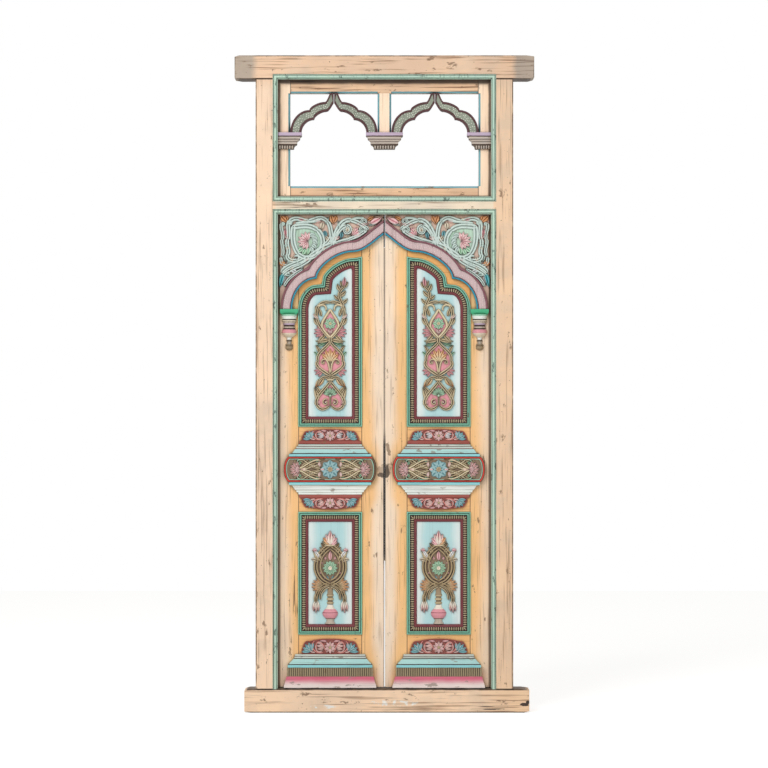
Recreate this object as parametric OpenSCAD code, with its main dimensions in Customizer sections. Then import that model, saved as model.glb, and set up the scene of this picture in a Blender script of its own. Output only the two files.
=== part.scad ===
// Carved double-leaf temple door in its frame, with an arched light above the doorway.
// Millimetres. X runs across, -Y faces the visitor, +Z is up.
// The origin is under the middle of the frame, on the underside of the sill.

/* [Frame] */
// Width across the outer faces of the jambs
frame_w = 956; // [900:4:1040]
// Height of the frame, underside of the sill to top of the lintel
frame_h = 2440; // [2340:10:2600]
// Depth of the frame, front face to back face
frame_d = 120; // [112:2:150]
// Height of the lintel
lintel_h = 88; // [76:1:110]
// How far the lintel runs past each jamb
lintel_horn = 78; // [40:1:120]
// Height of the sill
sill_h = 87; // [76:1:110]
// How far the sill runs past the left jamb
sill_horn_left = 42; // [20:1:100]
// How far the sill runs past the right jamb
sill_horn_right = 60; // [20:1:100]
// Width of each jamb, seen from the front
jamb_w = 81.5; // [72:0.5:100]
// Height of the rail between the doorway and the light
rail_h = 65; // [58:1:90]
// Clear height of the doorway, sill top to rail underside
door_h = 1764; // [1690:2:1850]
// Depth of the stop in front of the leaves and the sash
stop_d = 45; // [42:1:55]
// Width of the rebate behind the stop
rebate_w = 15; // [12:0.5:20]
// Worn round on the long edges of the frame, cut as a flat
arris = 4; // [1:0.5:8]
// Length of the stub tenons of the frame
frame_tenon = 40; // [25:1:60]
// Width of the painted bead round each opening
bead_w = 18.5; // [14:0.5:22]
// Depth of that bead
bead_d = 20; // [14:0.5:24]

/* [Light] */
// Thickness of the sash
sash_t = 40; // [32:1:50]
// Width of the sash stiles
sash_stile_w = 60; // [50:1:72]
// Height of the sash top rail
sash_top_h = 64; // [50:1:80]
// Height of the sash bottom rail
sash_bottom_h = 56; // [44:1:70]
// Width of the hanging mullion
mullion_w = 51; // [40:1:64]
// Flat cut along the inner edges of the sash, painted blue
sash_trim = 7; // [4:0.5:10]
// Length of the sash tenons
sash_tenon = 20; // [12:1:30]
// Height of the arches, capital top to sash top rail
light_rise = 147; // [130:1:165]
// Width of the arch pieces, seen from the front
light_band_w = 42; // [34:1:50]
// Width of each arch piece at the top, where it meets the sash
light_neck_w = 15; // [11:0.5:22]
// Thickness of the arch pieces
light_arch_t = 32; // [24:1:40]
// Gap between the two halves of an arch at the crown
light_crown_gap = 2; // [1:0.5:5]
// Height of the capitals
capital_h = 61; // [50:1:75]
// How far the capitals stand in front of the sash
capital_front = 25; // [18:1:30]
// How far the side capitals reach past their stiles into the light
capital_reach = 43; // [43:1:56]
// Half width of the middle capital
capital_half_w = 69; // [69:1:80]

/* [Leaf] */
// Thickness of the leaf frame
leaf_t = 40; // [34:1:46]
// Width of the hinge stile from the pintle axis
hinge_stile_w = 69.5; // [60:0.5:80]
// Width of the meeting stile
meet_stile_w = 82.4; // [70:0.2:95]
// Height of the bottom rail
bottom_rail_h = 196; // [184:1:220]
// Height of the lower panel opening
lower_panel_h = 457; // [430:1:490]
// Height of the lock rail
lock_rail_h = 317; // [312:1:340]
// Height of the top rail at its deepest
top_rail_h = 174; // [166:1:190]
// Thickness of the panels
panel_t = 14; // [10:0.5:18]
// Depth of the panel face behind the front of the leaf
panel_sunk = 11; // [8:0.5:14]
// Depth of the grooves that hold panels and rail tongues
groove_d = 10; // [6:0.5:14]
// Radius of the wooden pintles
pintle_r = 16; // [12:0.5:18]
// How far the lower pintle goes into the sill
pintle_foot = 14.7; // [10:0.1:20]
// How far the upper pintle goes into the rail
pintle_head = 16; // [10:0.5:20]

/* [Clearances] */
// Radial clearance of the pintles in their sockets
pintle_clear = 0.3; // [0.2:0.05:0.6]
// Clearance under the foot of the lower pintle
foot_clear = 0.3; // [0.2:0.05:0.6]
// Gap between a leaf and the stop in front of it
leaf_clear = 1; // [0.6:0.1:2]
// Gap between the round hinge edge and the rebate
hinge_clear = 1; // [0.6:0.1:2]
// Gap under the leaf
leaf_foot_gap = 4; // [3:0.5:8]
// Gap over the leaf
leaf_head_gap = 3; // [2:0.5:6]
// Gap between the leaves at mid height
meet_gap = 1.2; // [1.2:0.1:3]
// Extra gap worn into each meeting edge at its top and its foot
meet_wear = 2; // [0.5:0.25:4]
// Gap left between planted pieces that meet along a curve
plant_gap = 0.2; // [0.1:0.05:0.5]
// Distance of the planted pieces from the line where the leaves meet
swing_gap = 3.4; // [3:0.2:6]
// Bare stile left between the doorway's edge and the planted pieces
trim_edge = 8; // [7:0.5:12]

/* [Arch and spandrel] */
// Width of the arch band over the leaves
band_w = 42.5; // [36:0.5:46]
// How far the arch band stands off the leaf
band_rise = 18; // [12:0.5:24]
// Width of the raised edges of the arch band
band_edge_w = 6; // [4:0.5:9]
// Height of those edges above the band
band_edge_rise = 5; // [2:0.5:8]
// Width of the plain rail face left between the arch band and the panel moulding
arch_reveal = 22; // [16:0.5:28]
// Drop of the arch's springing below the top of the panel
arch_spring_drop = 190; // [170:1:210]
// Drop of the cusp below the top of the panel
arch_cusp_drop = 77; // [66:1:90]
// Rise of the upper lobe above the top of the panel
arch_crown_rise = 22; // [14:1:28]
// Rise of the arch's point above the top of the panel
arch_apex_rise = 90; // [80:1:94]
// Thickness of the spandrel's ground
spandrel_t = 6; // [4:0.5:10]
// Height of the scrolls on the spandrel
scroll_rise = 9; // [6:0.5:14]
// Height of the pendant
pendant_h = 155; // [130:1:180]

/* [Panels] */
// Width of the green outer member of the panel mouldings
mould_outer_w = 12.5; // [10:0.5:16]
// Width of the bead row between the two members
mould_mid_w = 15.5; // [10:0.5:18]
// Width of the maroon inner member
mould_inner_w = 10; // [8:0.5:15]
// Height of the outer member above the panel
mould_outer_rise = 18; // [14:0.5:22]
// Height of the bead row above the panel
mould_mid_rise = 13; // [9:0.5:16]
// Height of the inner member above the panel
mould_inner_rise = 8; // [4:0.5:11]
// Plain ground left on each side of the upper carving
upper_carving_side = 25; // [16:1:34]
// Plain ground left under the upper carving
upper_carving_foot = 24; // [12:1:40]
// Plain ground left between the body of the upper carving and the moulding over it
upper_carving_head = 25; // [14:1:40]
// Plain ground left between the bud of the upper carving and the moulding over it
upper_bud_head = 34; // [20:1:50]
// Plain ground left on each side of the lower carving
lower_carving_side = 14; // [8:1:24]
// Plain ground left under the lower carving
lower_carving_foot = 1; // [1:1:20]
// Plain ground left over the lower carving
lower_carving_head = 42; // [20:1:60]
// Height of the painted ground inside the hearts of the carvings
heart_rise = 3; // [2:0.5:5]
// Height of the stems of the carvings above the panel
stem_rise = 9; // [6:0.5:12]
// Height of the ridges and flowers above the stems
ridge_rise = 5; // [3:0.5:7]

/* [Lock rail and base] */
// Bare stile left between the hinge edge of the planted pieces and the cartouche
cartouche_side = 14.5; // [12:0.5:36]
// Height of the cartouche
cartouche_h = 96; // [88:1:104]
// How far the cartouche stands off the leaf
cartouche_rise = 30; // [22:1:36]
// Height of the stepped mouldings above and below the cartouche
steps_h = 58; // [52:1:60]
// Bare rail left over and under the crests of the lock rail
crest_gap = 9.3; // [6:0.1:16]
// Bare rail left on each side of the crests
crest_side = 13; // [7:0.5:29]
// How far the ground of the crests stands off the leaf
crest_rise = 7; // [4:0.5:12]
// Height of the base mouldings, leaf foot to crest
base_h = 123; // [112:1:130]
// Bare stile left between the hinge edge of the planted pieces and the foot of the base
base_side = 14.5; // [12:0.5:36]
// How far the foot of the base stands off the leaf
base_rise = 34; // [26:1:36]
// Bare rail left over the base crest
base_crest_gap = 15.8; // [10:0.1:26]
// Number of reeds across the base
reeds = 40; // [24:1:48]

/* [Hidden] */

// Depths through the wall
front = -frame_d / 2;
back = frame_d / 2;
stop_back = front + stop_d;
bead_seat = front + bead_d;

// Widths and heights of the two openings
half_open = frame_w / 2 - jamb_w;
rebate_x = half_open + rebate_w;
bead_x = half_open + bead_w;
rail_z = sill_h + door_h;
light_z = rail_z + rail_h;
lintel_z = frame_h - lintel_h;

// Leaf, given for the left one: the right one is its mirror image
leaf_front = stop_back + leaf_clear;
leaf_back = leaf_front + leaf_t;
hinge_r = leaf_t / 2;
hinge_x = -(rebate_x - hinge_clear - hinge_r);
hinge_y = leaf_front + hinge_r;
leaf_foot = sill_h + leaf_foot_gap;
leaf_head = rail_z + rebate_w - leaf_head_gap;
meet_x = -meet_gap / 2;
field_out = hinge_x + hinge_stile_w;
field_in = meet_x - meet_stile_w;
field_w = field_in - field_out;
field_mid = (field_in + field_out) / 2;
panel_front = leaf_front + panel_sunk;
panel_back = panel_front + panel_t;
lower_foot = leaf_foot + bottom_rail_h;
lower_head = lower_foot + lower_panel_h;
upper_foot = lower_head + lock_rail_h;
upper_head = leaf_head - top_rail_h;
// The panel runs up behind the cusped edge of the top rail by this much
panel_lap = arch_crown_rise;
panel_head = upper_head + panel_lap;
// The stretches of the meeting edge that daylight has worn
wear_head = 134;
wear_foot = 470;

// Planted work over the leaf
trim_out = -(half_open - trim_edge);
trim_in = -swing_gap;
trim_head = rail_z - leaf_head_gap;
spring_x = -field_out + arch_reveal;
spring_z = upper_head - arch_spring_drop;
pendant_w = field_out - trim_out - plant_gap;
cartouche_half_w = field_mid - trim_out - cartouche_side;
base_half_w = field_mid - trim_out - base_side;
crest_half_w = field_w / 2 - crest_side;
crest_h = lock_rail_h / 2 - cartouche_h / 2 - steps_h - plant_gap - crest_gap;
base_crest_h = bottom_rail_h - base_h - plant_gap - base_crest_gap;
crown_share = 0.347;

// Light
sash_fit = 0.5;
sash_x = rebate_x - sash_fit;
sash_in = sash_x - sash_stile_w;
sash_foot = light_z - rebate_w;
sash_head = lintel_z + rebate_w - sash_fit;
sash_foot_in = sash_foot + sash_bottom_h;
sash_head_in = sash_head - sash_top_h;
sash_back = stop_back + sash_t;
capital_z = sash_head_in - light_rise;
bay_half = (sash_in - mullion_w / 2) / 2;
bay_x = mullion_w / 2 + bay_half;
// How far the arches stand in front of the sash, and the size of their raised edges
light_arch_proud = 5;
light_edge_w = 5;
light_edge_rise = 3;
light_arch_front = stop_back - light_arch_proud;

// Points along a cubic curve with the four control points p
function bend(p, n = 5) = [for (i = [0:n]) let (t = i / n, s = 1 - t)
    s * s * s * p[0] + 3 * s * s * t * p[1] + 3 * s * t * t * p[2] + t * t * t * p[3]];

// A lobe that leaves a upright and reaches b level, fuller with a larger k
function lobe(a, b, k, n = 7) =
    bend([a, [a.x, a.y + k * (b.y - a.y)], [b.x - k * (b.x - a.x), b.y], b], n);

// Left half of a cusped arch: springing, cusp, crown of the upper lobe, point
function cusped(spring, cusp, crown, apex) = concat(
    lobe(spring, cusp, 0.55),
    lobe(cusp, crown, 0.42),
    bend([crown, crown + [0.37 * (apex.x - crown.x), 0],
          apex - [0.38 * (apex.x - crown.x), 0.5 * (apex.y - crown.y)], apex], 5));

function flip(q) = [for (p = q) [-p.x, p.y]];
function backwards(q) = [for (i = [len(q) - 1:-1:0]) q[i]];

// Direction across a polyline at its point i
function across(q, i) =
    let (a = q[max(i - 1, 0)], b = q[min(i + 1, len(q) - 1)], d = (b - a) / norm(b - a)) [-d.y, d.x];

// Points of a leaf shape that starts at the origin and runs along X
function leaf_points(l, w, n = 4) = concat(
    [for (i = [0:n]) [l * i / n, w / 2 * sin(180 * pow(i / n, 0.8))]],
    [for (i = [n - 1:-1:1]) [l * i / n, -w / 2 * sin(180 * pow(i / n, 0.8))]]);

// A stem that tapers along a polyline
module stem(q, w0, w1) {
    n = len(q) - 1;
    side = [for (i = [0:n]) across(q, i) * (w0 + (w1 - w0) * i / n) / 2];
    polygon(concat([for (i = [0:n]) q[i] + side[i]], [for (i = [n:-1:0]) q[i] - side[i]]));
}

// One leaf or petal, pointing away from its root at angle a
module petal(p, a, l, w) {
    translate(p) rotate(a) polygon(leaf_points(l, w));
}

// Petals spread evenly from angle a0 to angle a1
module fan(p, n, a0, a1, l, w) {
    for (i = [0:n - 1]) {
        petal(p, a0 + (a1 - a0) * i / (n - 1), l, w);
    }
}

// A flower seen from the front
module rosette(p, n, l, w) {
    for (i = [0:n - 1]) {
        petal(p, 360 * i / n, l, w);
    }
    translate(p) circle(r = l / 2.4, $fn = 12);
}

// A stem that winds inwards round p, from radius r0 at angle a0 through turn degrees to radius r1
module curl(p, r0, r1, a0, turn, w0, w1, n = 9) {
    shares = [for (i = [0:n]) i / n];
    stem([for (t = shares) p + (r0 + (r1 - r0) * t) * [cos(a0 + turn * t), sin(a0 + turn * t)]], w0, w1);
}

// Both mirror images of a half motif
module pair() {
    children();
    mirror([1, 0]) children();
}

// A flat shape drawn in X and Z, standing rise forward from the plane Y = face
// and grown by a hair to join its strokes
module relief(face, rise, grow = 0.001) {
    translate([0, face, 0]) rotate([90, 0, 0]) linear_extrude(rise) offset(delta = grow) children();
}

// A box between two corners
module block(a, b) {
    translate(a) cube(b - a);
}

// A bar along X whose section is drawn in Y and Z
module bar_x(x0, x1) {
    translate([x0, 0, 0]) rotate([90, 0, 90]) linear_extrude(x1 - x0) children();
}

// A bar along Z whose section is drawn in X and Y
module bar_z(z0, z1) {
    translate([0, 0, z0]) linear_extrude(z1 - z0) children();
}

// A solid between the planes Y = y0 and Y = y1 whose outline is drawn in X and Z
module slab_y(y0, y1) {
    translate([0, y1, 0]) rotate([90, 0, 0]) linear_extrude(y1 - y0) children();
}

// Lintel and sill: a beam with worn long edges and slightly tapered horns
module beam(x0, x1, z0, z1, taper) {
    intersection() {
        bar_x(x0, x1) polygon([
            [front + arris, z0], [back - arris, z0], [back, z0 + arris], [back, z1 - arris],
            [back - arris, z1], [front + arris, z1], [front, z1 - arris], [front, z0 + arris]]);
        slab_y(front, back) polygon([
            [x0, z0 + taper], [x0 + 6 * taper, z0], [x1 - 5 * taper, z0], [x1, z0 + 1.5 * taper],
            [x1, z1 - taper], [x1 - 7 * taper, z1], [x0 + 4 * taper, z1], [x0, z1 - 1.5 * taper]]);
    }
}

// Stub tenon of a jamb, grown from the plane z towards z + l
module jamb_tenon(side, z, l) {
    x = side * (frame_w / 2 - jamb_w / 2);
    block([x - jamb_w / 4, -frame_d / 6, min(z, z + l)], [x + jamb_w / 4, frame_d / 6, max(z, z + l)]);
}

module lintel() {
    color("#E2C7A6") difference() {
        beam(-frame_w / 2 - lintel_horn, frame_w / 2 + lintel_horn, lintel_z, frame_h, arris);
        block([-bead_x, front - 1, lintel_z - 1], [bead_x, bead_seat, lintel_z + bead_w]);
        block([-rebate_x, stop_back, lintel_z - 1], [rebate_x, back + 1, lintel_z + rebate_w]);
        for (side = [-1, 1]) {
            jamb_tenon(side, lintel_z, frame_tenon);
        }
    }
}

module sill() {
    color("#E2C7A6") difference() {
        beam(-frame_w / 2 - sill_horn_left, frame_w / 2 + sill_horn_right, 0, sill_h, arris);
        for (side = [-1, 1]) {
            jamb_tenon(side, sill_h, -frame_tenon);
            translate([side * hinge_x, hinge_y, sill_h - pintle_foot - foot_clear])
                cylinder(r = pintle_r + pintle_clear, h = sill_h, $fn = 64);
        }
    }
}

// Left jamb, with the stop in front, the rebate behind it and the seat of the bead
module jamb() {
    color("#E6C8A6") difference() {
        union() {
            bar_z(sill_h, lintel_z) polygon([
                [-frame_w / 2, front + arris], [-frame_w / 2 + arris, front], [-bead_x, front],
                [-bead_x, bead_seat], [-half_open, bead_seat], [-half_open, stop_back],
                [-rebate_x, stop_back], [-rebate_x, back], [-frame_w / 2 + arris, back],
                [-frame_w / 2, back - arris]]);
            jamb_tenon(-1, sill_h, -frame_tenon);
            jamb_tenon(-1, lintel_z, frame_tenon);
        }
        rail_tenon();
    }
}

// Left tenon of the transom rail
module rail_tenon() {
    block([-rebate_x - frame_tenon, stop_back + rebate_w, rail_z + rebate_w],
          [-rebate_x, stop_back + rebate_w + frame_d / 4, light_z - rebate_w]);
}

module transom_rail() {
    color("#E6C8A6") difference() {
        union() {
            block([-half_open, bead_seat, rail_z], [half_open, stop_back, light_z]);
            block([-bead_x, front, rail_z + bead_w], [bead_x, bead_seat, light_z - bead_w]);
            block([-rebate_x, stop_back, rail_z + rebate_w], [rebate_x, back, light_z - rebate_w]);
            rail_tenon();
            mirror([1, 0, 0]) rail_tenon();
        }
        for (side = [-1, 1]) {
            translate([side * hinge_x, hinge_y, rail_z])
                cylinder(r = pintle_r + pintle_clear, h = rebate_w + pintle_head + foot_clear, $fn = 64);
        }
    }
}

// Section of the bead: u runs from the opening into the frame, v from the seat to the front
bead_fillet = 3;
bead_lip = 9;
bead_sunk = 1;
bead_roll_r = bead_w / 2 - bead_fillet;
bead_roll_v = bead_d - bead_sunk - bead_roll_r;
bead_section = concat(
    [[0, 0], [0, bead_d - bead_lip], [bead_fillet, bead_d - bead_lip]],
    [for (a = [180:-30:0]) [bead_w / 2 + bead_roll_r * cos(a), bead_roll_v + bead_roll_r * sin(a)]],
    [[bead_w - bead_fillet, bead_d - bead_fillet], [bead_w, bead_d - bead_fillet], [bead_w, 0]]);

// An upright bead on the left, cut to the outline that follows
module bead_upright(z0, z1) {
    color("#B9DCC8") intersection() {
        bar_z(z0, z1) polygon([for (p = bead_section) [-half_open - p.x, bead_seat - p.y]]);
        slab_y(front, bead_seat) children();
    }
}

// A level bead that grows from height z in direction up, with mitred ends
module bead_level(z, up) {
    color("#B9DCC8") intersection() {
        bar_x(-bead_x, bead_x) polygon([for (p = bead_section) [bead_seat - p.y, z + up * p.x]]);
        slab_y(front, bead_seat) polygon([
            [-half_open, z], [half_open, z], [bead_x, z + up * bead_w], [-bead_x, z + up * bead_w]]);
    }
}

module light_bead_side() {
    bead_upright(light_z - bead_w, lintel_z + bead_w) polygon([
        [-half_open, light_z], [-half_open, lintel_z],
        [-bead_x, lintel_z + bead_w], [-bead_x, light_z - bead_w]]);
}

module door_bead_side() {
    bead_upright(sill_h, rail_z + bead_w) polygon([
        [-half_open, sill_h], [-half_open, rail_z], [-bead_x, rail_z + bead_w], [-bead_x, sill_h]]);
}

// A square bar laid along X or Z to cut the painted flat from a sash edge
module trim_cut_x(x0, x1, z) {
    translate([x0, stop_back, z]) rotate([45, 0, 0]) translate([0, -sash_trim, -sash_trim] / sqrt(2))
        cube([x1 - x0, sash_trim * sqrt(2), sash_trim * sqrt(2)]);
}

module trim_cut_z(x, z0, z1) {
    translate([x, stop_back, z0]) rotate([0, 0, 45]) translate([-sash_trim, -sash_trim, 0] / sqrt(2))
        cube([sash_trim * sqrt(2), sash_trim * sqrt(2), z1 - z0]);
}

// Left tenon of a sash rail between heights z0 and z1
module sash_tenon_left(z0, z1) {
    block([-sash_in - sash_tenon, stop_back + sash_t / 3, z0 + sash_tenon / 2],
          [-sash_in, stop_back + 2 * sash_t / 3, z1 - sash_tenon / 2]);
}

module sash_tenons(z0, z1) {
    sash_tenon_left(z0, z1);
    mirror([1, 0, 0]) sash_tenon_left(z0, z1);
}

module mullion_tenon() {
    block([-mullion_w / 4, stop_back + sash_t / 3, sash_head_in],
          [mullion_w / 4, stop_back + 2 * sash_t / 3, sash_head_in + sash_tenon]);
}

module sash_top_rail() {
    color("#E9C79A") difference() {
        union() {
            block([-sash_in, stop_back, sash_head_in], [sash_in, sash_back, sash_head]);
            sash_tenons(sash_head_in, sash_head);
        }
        trim_cut_x(-sash_in, -mullion_w / 2, sash_head_in);
        trim_cut_x(mullion_w / 2, sash_in, sash_head_in);
        mullion_tenon();
    }
}

module sash_bottom_rail() {
    color("#E9C79A") union() {
        bar_x(-sash_in, sash_in) polygon([
            [stop_back, sash_foot], [sash_back, sash_foot], [sash_back, sash_foot_in],
            [stop_back + sash_trim, sash_foot_in], [stop_back, sash_foot_in - sash_trim]]);
        sash_tenons(sash_foot, sash_foot_in);
    }
}

module sash_stile() {
    color("#E9C79A") difference() {
        block([-sash_x, stop_back, sash_foot], [-sash_in, sash_back, sash_head]);
        sash_tenon_left(sash_foot, sash_foot_in);
        sash_tenon_left(sash_head_in, sash_head);
        trim_cut_z(-sash_in, sash_foot_in, capital_z - capital_h);
        trim_cut_z(-sash_in, capital_z, sash_head_in);
    }
}

module sash_mullion() {
    color("#E9C79A") difference() {
        union() {
            block([-mullion_w / 2, stop_back, capital_z], [mullion_w / 2, sash_back, sash_head_in]);
            mullion_tenon();
        }
        for (side = [-1, 1]) {
            trim_cut_z(side * mullion_w / 2, capital_z, sash_head_in);
        }
    }
}

// Opening under a cusped arch of the light, about the middle of its bay
module light_arch_opening() {
    spring = bay_half - light_band_w;
    half = cusped([-spring, capital_z], [-0.61 * spring, capital_z + light_rise / 3],
                  [-0.24 * spring, capital_z + 0.54 * light_rise], [0, capital_z + 0.76 * light_rise]);
    foot = capital_z - capital_h;
    polygon(concat([[-spring, foot]], half, backwards(flip(half)), [[spring, foot]]));
}

// What the arch pieces cover down to the capitals: their outer line has cusps of its own and a narrow neck
module light_arch_outside() {
    half = cusped([-bay_half, capital_z], [-0.56 * bay_half, capital_z + 0.575 * light_rise],
                  [-0.206 * bay_half, capital_z + 0.78 * light_rise], [-light_neck_w, capital_z + light_rise]);
    foot = [-bay_half, capital_z - capital_h];
    over = [-light_neck_w, sash_head];
    outline = concat([foot], half, [over]);
    polygon(concat(outline, backwards(flip(outline))));
}

// The arch of the left bay: two half pieces that meet at the crown
module light_arch() {
    translate([-bay_x, 0, 0]) {
        color("#C3D3C5") relief(light_arch_front + light_arch_t, light_arch_t) intersection() {
            difference() {
                light_arch_outside();
                light_arch_opening();
            }
            light_arch_halves();
        }
        color("#7A4650") relief(light_arch_front + light_arch_t, light_arch_t + light_edge_rise)
            intersection() {
                difference() {
                    light_arch_outside();
                    light_arch_opening();
                    light_arch_field();
                }
                light_arch_halves();
            }
    }
}

// The sunk field between the raised edges
module light_arch_field() {
    difference() {
        offset(delta = -light_edge_w) light_arch_outside();
        offset(delta = light_edge_w) light_arch_opening();
    }
}

module light_arch_halves() {
    pair() translate([-bay_half, capital_z]) square([bay_half - light_crown_gap / 2, light_rise]);
}

// Drop below the top of a capital and how far the edge has stepped in there
capital_steps = [[0, 0], [0.25, 0], [0.25, 0.2], [0.43, 0.2],
    [0.55, 0.6], [0.72, 0.6], [0.82, 0.92], [1, 1]];
// How far the foot of a capital is set in from its slab
capital_inset = 30;

// Edge points of a capital whose slab ends at s and steps in by inset, in direction dir
function capital_edge(s, inset, dir) =
    [for (c = capital_steps) [s - dir * c[1] * inset, capital_z - c[0] * capital_h]];

// Front-to-back outline of the capitals, stepped on the front
module capital_side_view() {
    polygon(concat(capital_edge(stop_back - capital_front, capital_inset / 2, -1),
                   [[sash_back, capital_z - capital_h], [sash_back, capital_z]]));
}

// Small upright cuts that leave a row of teeth at the foot of a capital, as shares of their pitch,
// of the capital's height and of its front
tooth_cut = 0.4;
tooth_h = 0.14;
tooth_d = 0.66;
module capital_teeth(x0, x1, n) {
    pitch = (x1 - x0) / n;
    foot = capital_z - capital_h;
    for (i = [1:n - 1]) {
        block([x0 + (i - tooth_cut / 2) * pitch, stop_back - capital_front, foot - 1],
              [x0 + (i + tooth_cut / 2) * pitch, stop_back - (1 - tooth_d) * capital_front,
               foot + tooth_h * capital_h]);
    }
}

module side_capital() {
    out = half_open - plant_gap;
    reach = sash_in - capital_reach;
    color("#B7A3B5") difference() {
        intersection() {
            slab_y(stop_back - capital_front, sash_back) polygon(concat(
                [[-out, capital_z - capital_h], [-out, capital_z]], capital_edge(-reach, capital_inset, 1)));
            bar_x(-out, -reach) capital_side_view();
        }
        block([-out - 1, stop_back, capital_z - capital_h - 1], [-sash_in, sash_back + 1, capital_z + 1]);
        capital_teeth(-out, -reach - capital_inset, 6);
    }
}

module centre_capital() {
    color("#B7A3B5") difference() {
        intersection() {
            slab_y(stop_back - capital_front, sash_back) polygon(concat(
                backwards(capital_edge(-capital_half_w, capital_inset, -1)),
                capital_edge(capital_half_w, capital_inset, 1)));
            bar_x(-capital_half_w, capital_half_w) capital_side_view();
        }
        capital_teeth(capital_inset - capital_half_w, capital_half_w - capital_inset, 8);
    }
}

// Left hinge stile: round outer edge about the pintle axis, a pintle at each end, a groove inside
module hinge_stile() {
    color("#F2C27E") difference() {
        union() {
            block([hinge_x, leaf_front, leaf_foot], [field_out, leaf_back, leaf_head]);
            translate([hinge_x, hinge_y, leaf_foot])
                cylinder(r = hinge_r, h = leaf_head - leaf_foot, $fn = 64);
            translate([hinge_x, hinge_y, sill_h - pintle_foot])
                cylinder(r = pintle_r, h = pintle_foot + door_h + rebate_w + pintle_head, $fn = 64);
        }
        block([field_out - groove_d, panel_front, leaf_foot - 1], [field_out + 1, panel_back, leaf_head + 1]);
    }
}

module meeting_stile() {
    color("#F2C27E") difference() {
        block([field_in, leaf_front, leaf_foot], [meet_x, leaf_back, leaf_head]);
        block([field_in - 1, panel_front, leaf_foot - 1], [field_in + groove_d, panel_back, leaf_head + 1]);
        block([meet_x - meet_wear, leaf_front - 1, leaf_head - wear_head],
              [meet_x + 1, leaf_back + 1, leaf_head + 1]);
        block([meet_x - meet_wear, leaf_front - 1, leaf_foot - 1],
              [meet_x + 1, leaf_back + 1, leaf_foot + wear_foot]);
    }
}

// The tongues of a rail in the stile grooves
module rail_tongues(z0, z1) {
    block([field_out - groove_d, panel_front, z0], [field_out, panel_back, z1]);
    block([field_in, panel_front, z0], [field_in + groove_d, panel_back, z1]);
}

// Opening under the point of the arch over both leaves
module arch_opening() {
    half = cusped([-spring_x, spring_z], [cusp_x, upper_head - arch_cusp_drop],
                  [-crown_share * spring_x, upper_head + arch_crown_rise],
                  [0, upper_head + arch_apex_rise]);
    polygon(concat([[-spring_x, lower_head]], half, backwards(flip(half)), [[spring_x, lower_head]]));
}

// Outline of the upper panel's opening: the field, closed at the top by the line of the arch
module upper_opening() {
    intersection() {
        translate([field_out, upper_foot]) square([field_w, leaf_head - upper_foot]);
        offset(delta = -arch_reveal) arch_opening();
    }
}

module lower_opening() {
    translate([field_out, lower_foot]) square([field_w, lower_panel_h]);
}

// Top rail: its front edge follows the arch, and the panel runs up behind it
module top_rail() {
    color("#F3B266") {
        relief(panel_front, panel_sunk) difference() {
            translate([field_out, spring_z]) square([field_w, leaf_head - spring_z]);
            upper_opening();
        }
        block([field_out, panel_front, panel_head], [field_in, leaf_back, leaf_head]);
        rail_tongues(panel_head, leaf_head);
    }
}

module lock_rail() {
    color("#F2C27E") difference() {
        union() {
            block([field_out, leaf_front, lower_head], [field_in, leaf_back, upper_foot]);
            rail_tongues(lower_head, upper_foot);
        }
        block([field_out - groove_d - 1, panel_front, upper_foot - groove_d],
              [field_in + groove_d + 1, panel_back, upper_foot + 1]);
        block([field_out - groove_d - 1, panel_front, lower_head - 1],
              [field_in + groove_d + 1, panel_back, lower_head + groove_d]);
    }
}

module bottom_rail() {
    color("#F2C27E") difference() {
        union() {
            block([field_out, leaf_front, leaf_foot], [field_in, leaf_back, lower_foot]);
            rail_tongues(leaf_foot, lower_foot);
        }
        block([field_out - groove_d - 1, panel_front, lower_foot - groove_d],
              [field_in + groove_d + 1, panel_back, lower_foot + 1]);
    }
}

module upper_panel() {
    color("#CFE6EA")
        block([field_out - groove_d, panel_front, upper_foot - groove_d],
              [field_in + groove_d, panel_back, panel_head]);
}

module lower_panel() {
    color("#CFE6EA")
        block([field_out - groove_d, panel_front, lower_foot - groove_d],
              [field_in + groove_d, panel_back, lower_head + groove_d]);
}

mould_w = mould_outer_w + mould_mid_w + mould_inner_w;

// A moulding laid on a panel inside its opening, in three members that step down to the panel
module moulding() {
    inner_edges = [mould_outer_w, mould_outer_w + mould_mid_w, mould_w];
    rises = [mould_outer_rise, mould_mid_rise, mould_inner_rise];
    tints = ["#7FC4AC", "#6B4A3A", "#7C4147"];
    for (i = [0:2]) {
        color(tints[i]) relief(panel_front, rises[i]) difference() {
            offset(delta = -plant_gap) children();
            offset(delta = -inner_edges[i]) children();
        }
    }
}

module upper_moulding() {
    moulding() upper_opening();
}

module lower_moulding() {
    moulding() lower_opening();
}

// Everything the planted work of the arch may cover
module trim_area() {
    translate([trim_out, spring_z]) square([trim_in - trim_out, trim_head - spring_z]);
}

module arch_band() {
    color("#C9A6A6") relief(leaf_front, band_rise) intersection() {
        arch_ring(band_w, 0);
        trim_area();
    }
    color("#6E3A44") relief(leaf_front, band_rise + band_edge_rise) intersection() {
        union() {
            arch_ring(band_w, band_w - band_edge_w);
            arch_ring(band_edge_w, 0);
        }
        trim_area();
    }
}

// The band between two distances outside the arch's opening
module arch_ring(outer, inner) {
    difference() {
        offset(delta = outer) arch_opening();
        offset(delta = inner) arch_opening();
    }
}

module spandrel_area() {
    difference() {
        trim_area();
        offset(delta = band_w + plant_gap) arch_opening();
    }
}

// Scrolls of the spandrel, drawn in a box of width 385 and height 268 from its lower hinge-side corner
spandrel_motif = [385, 268];
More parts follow.
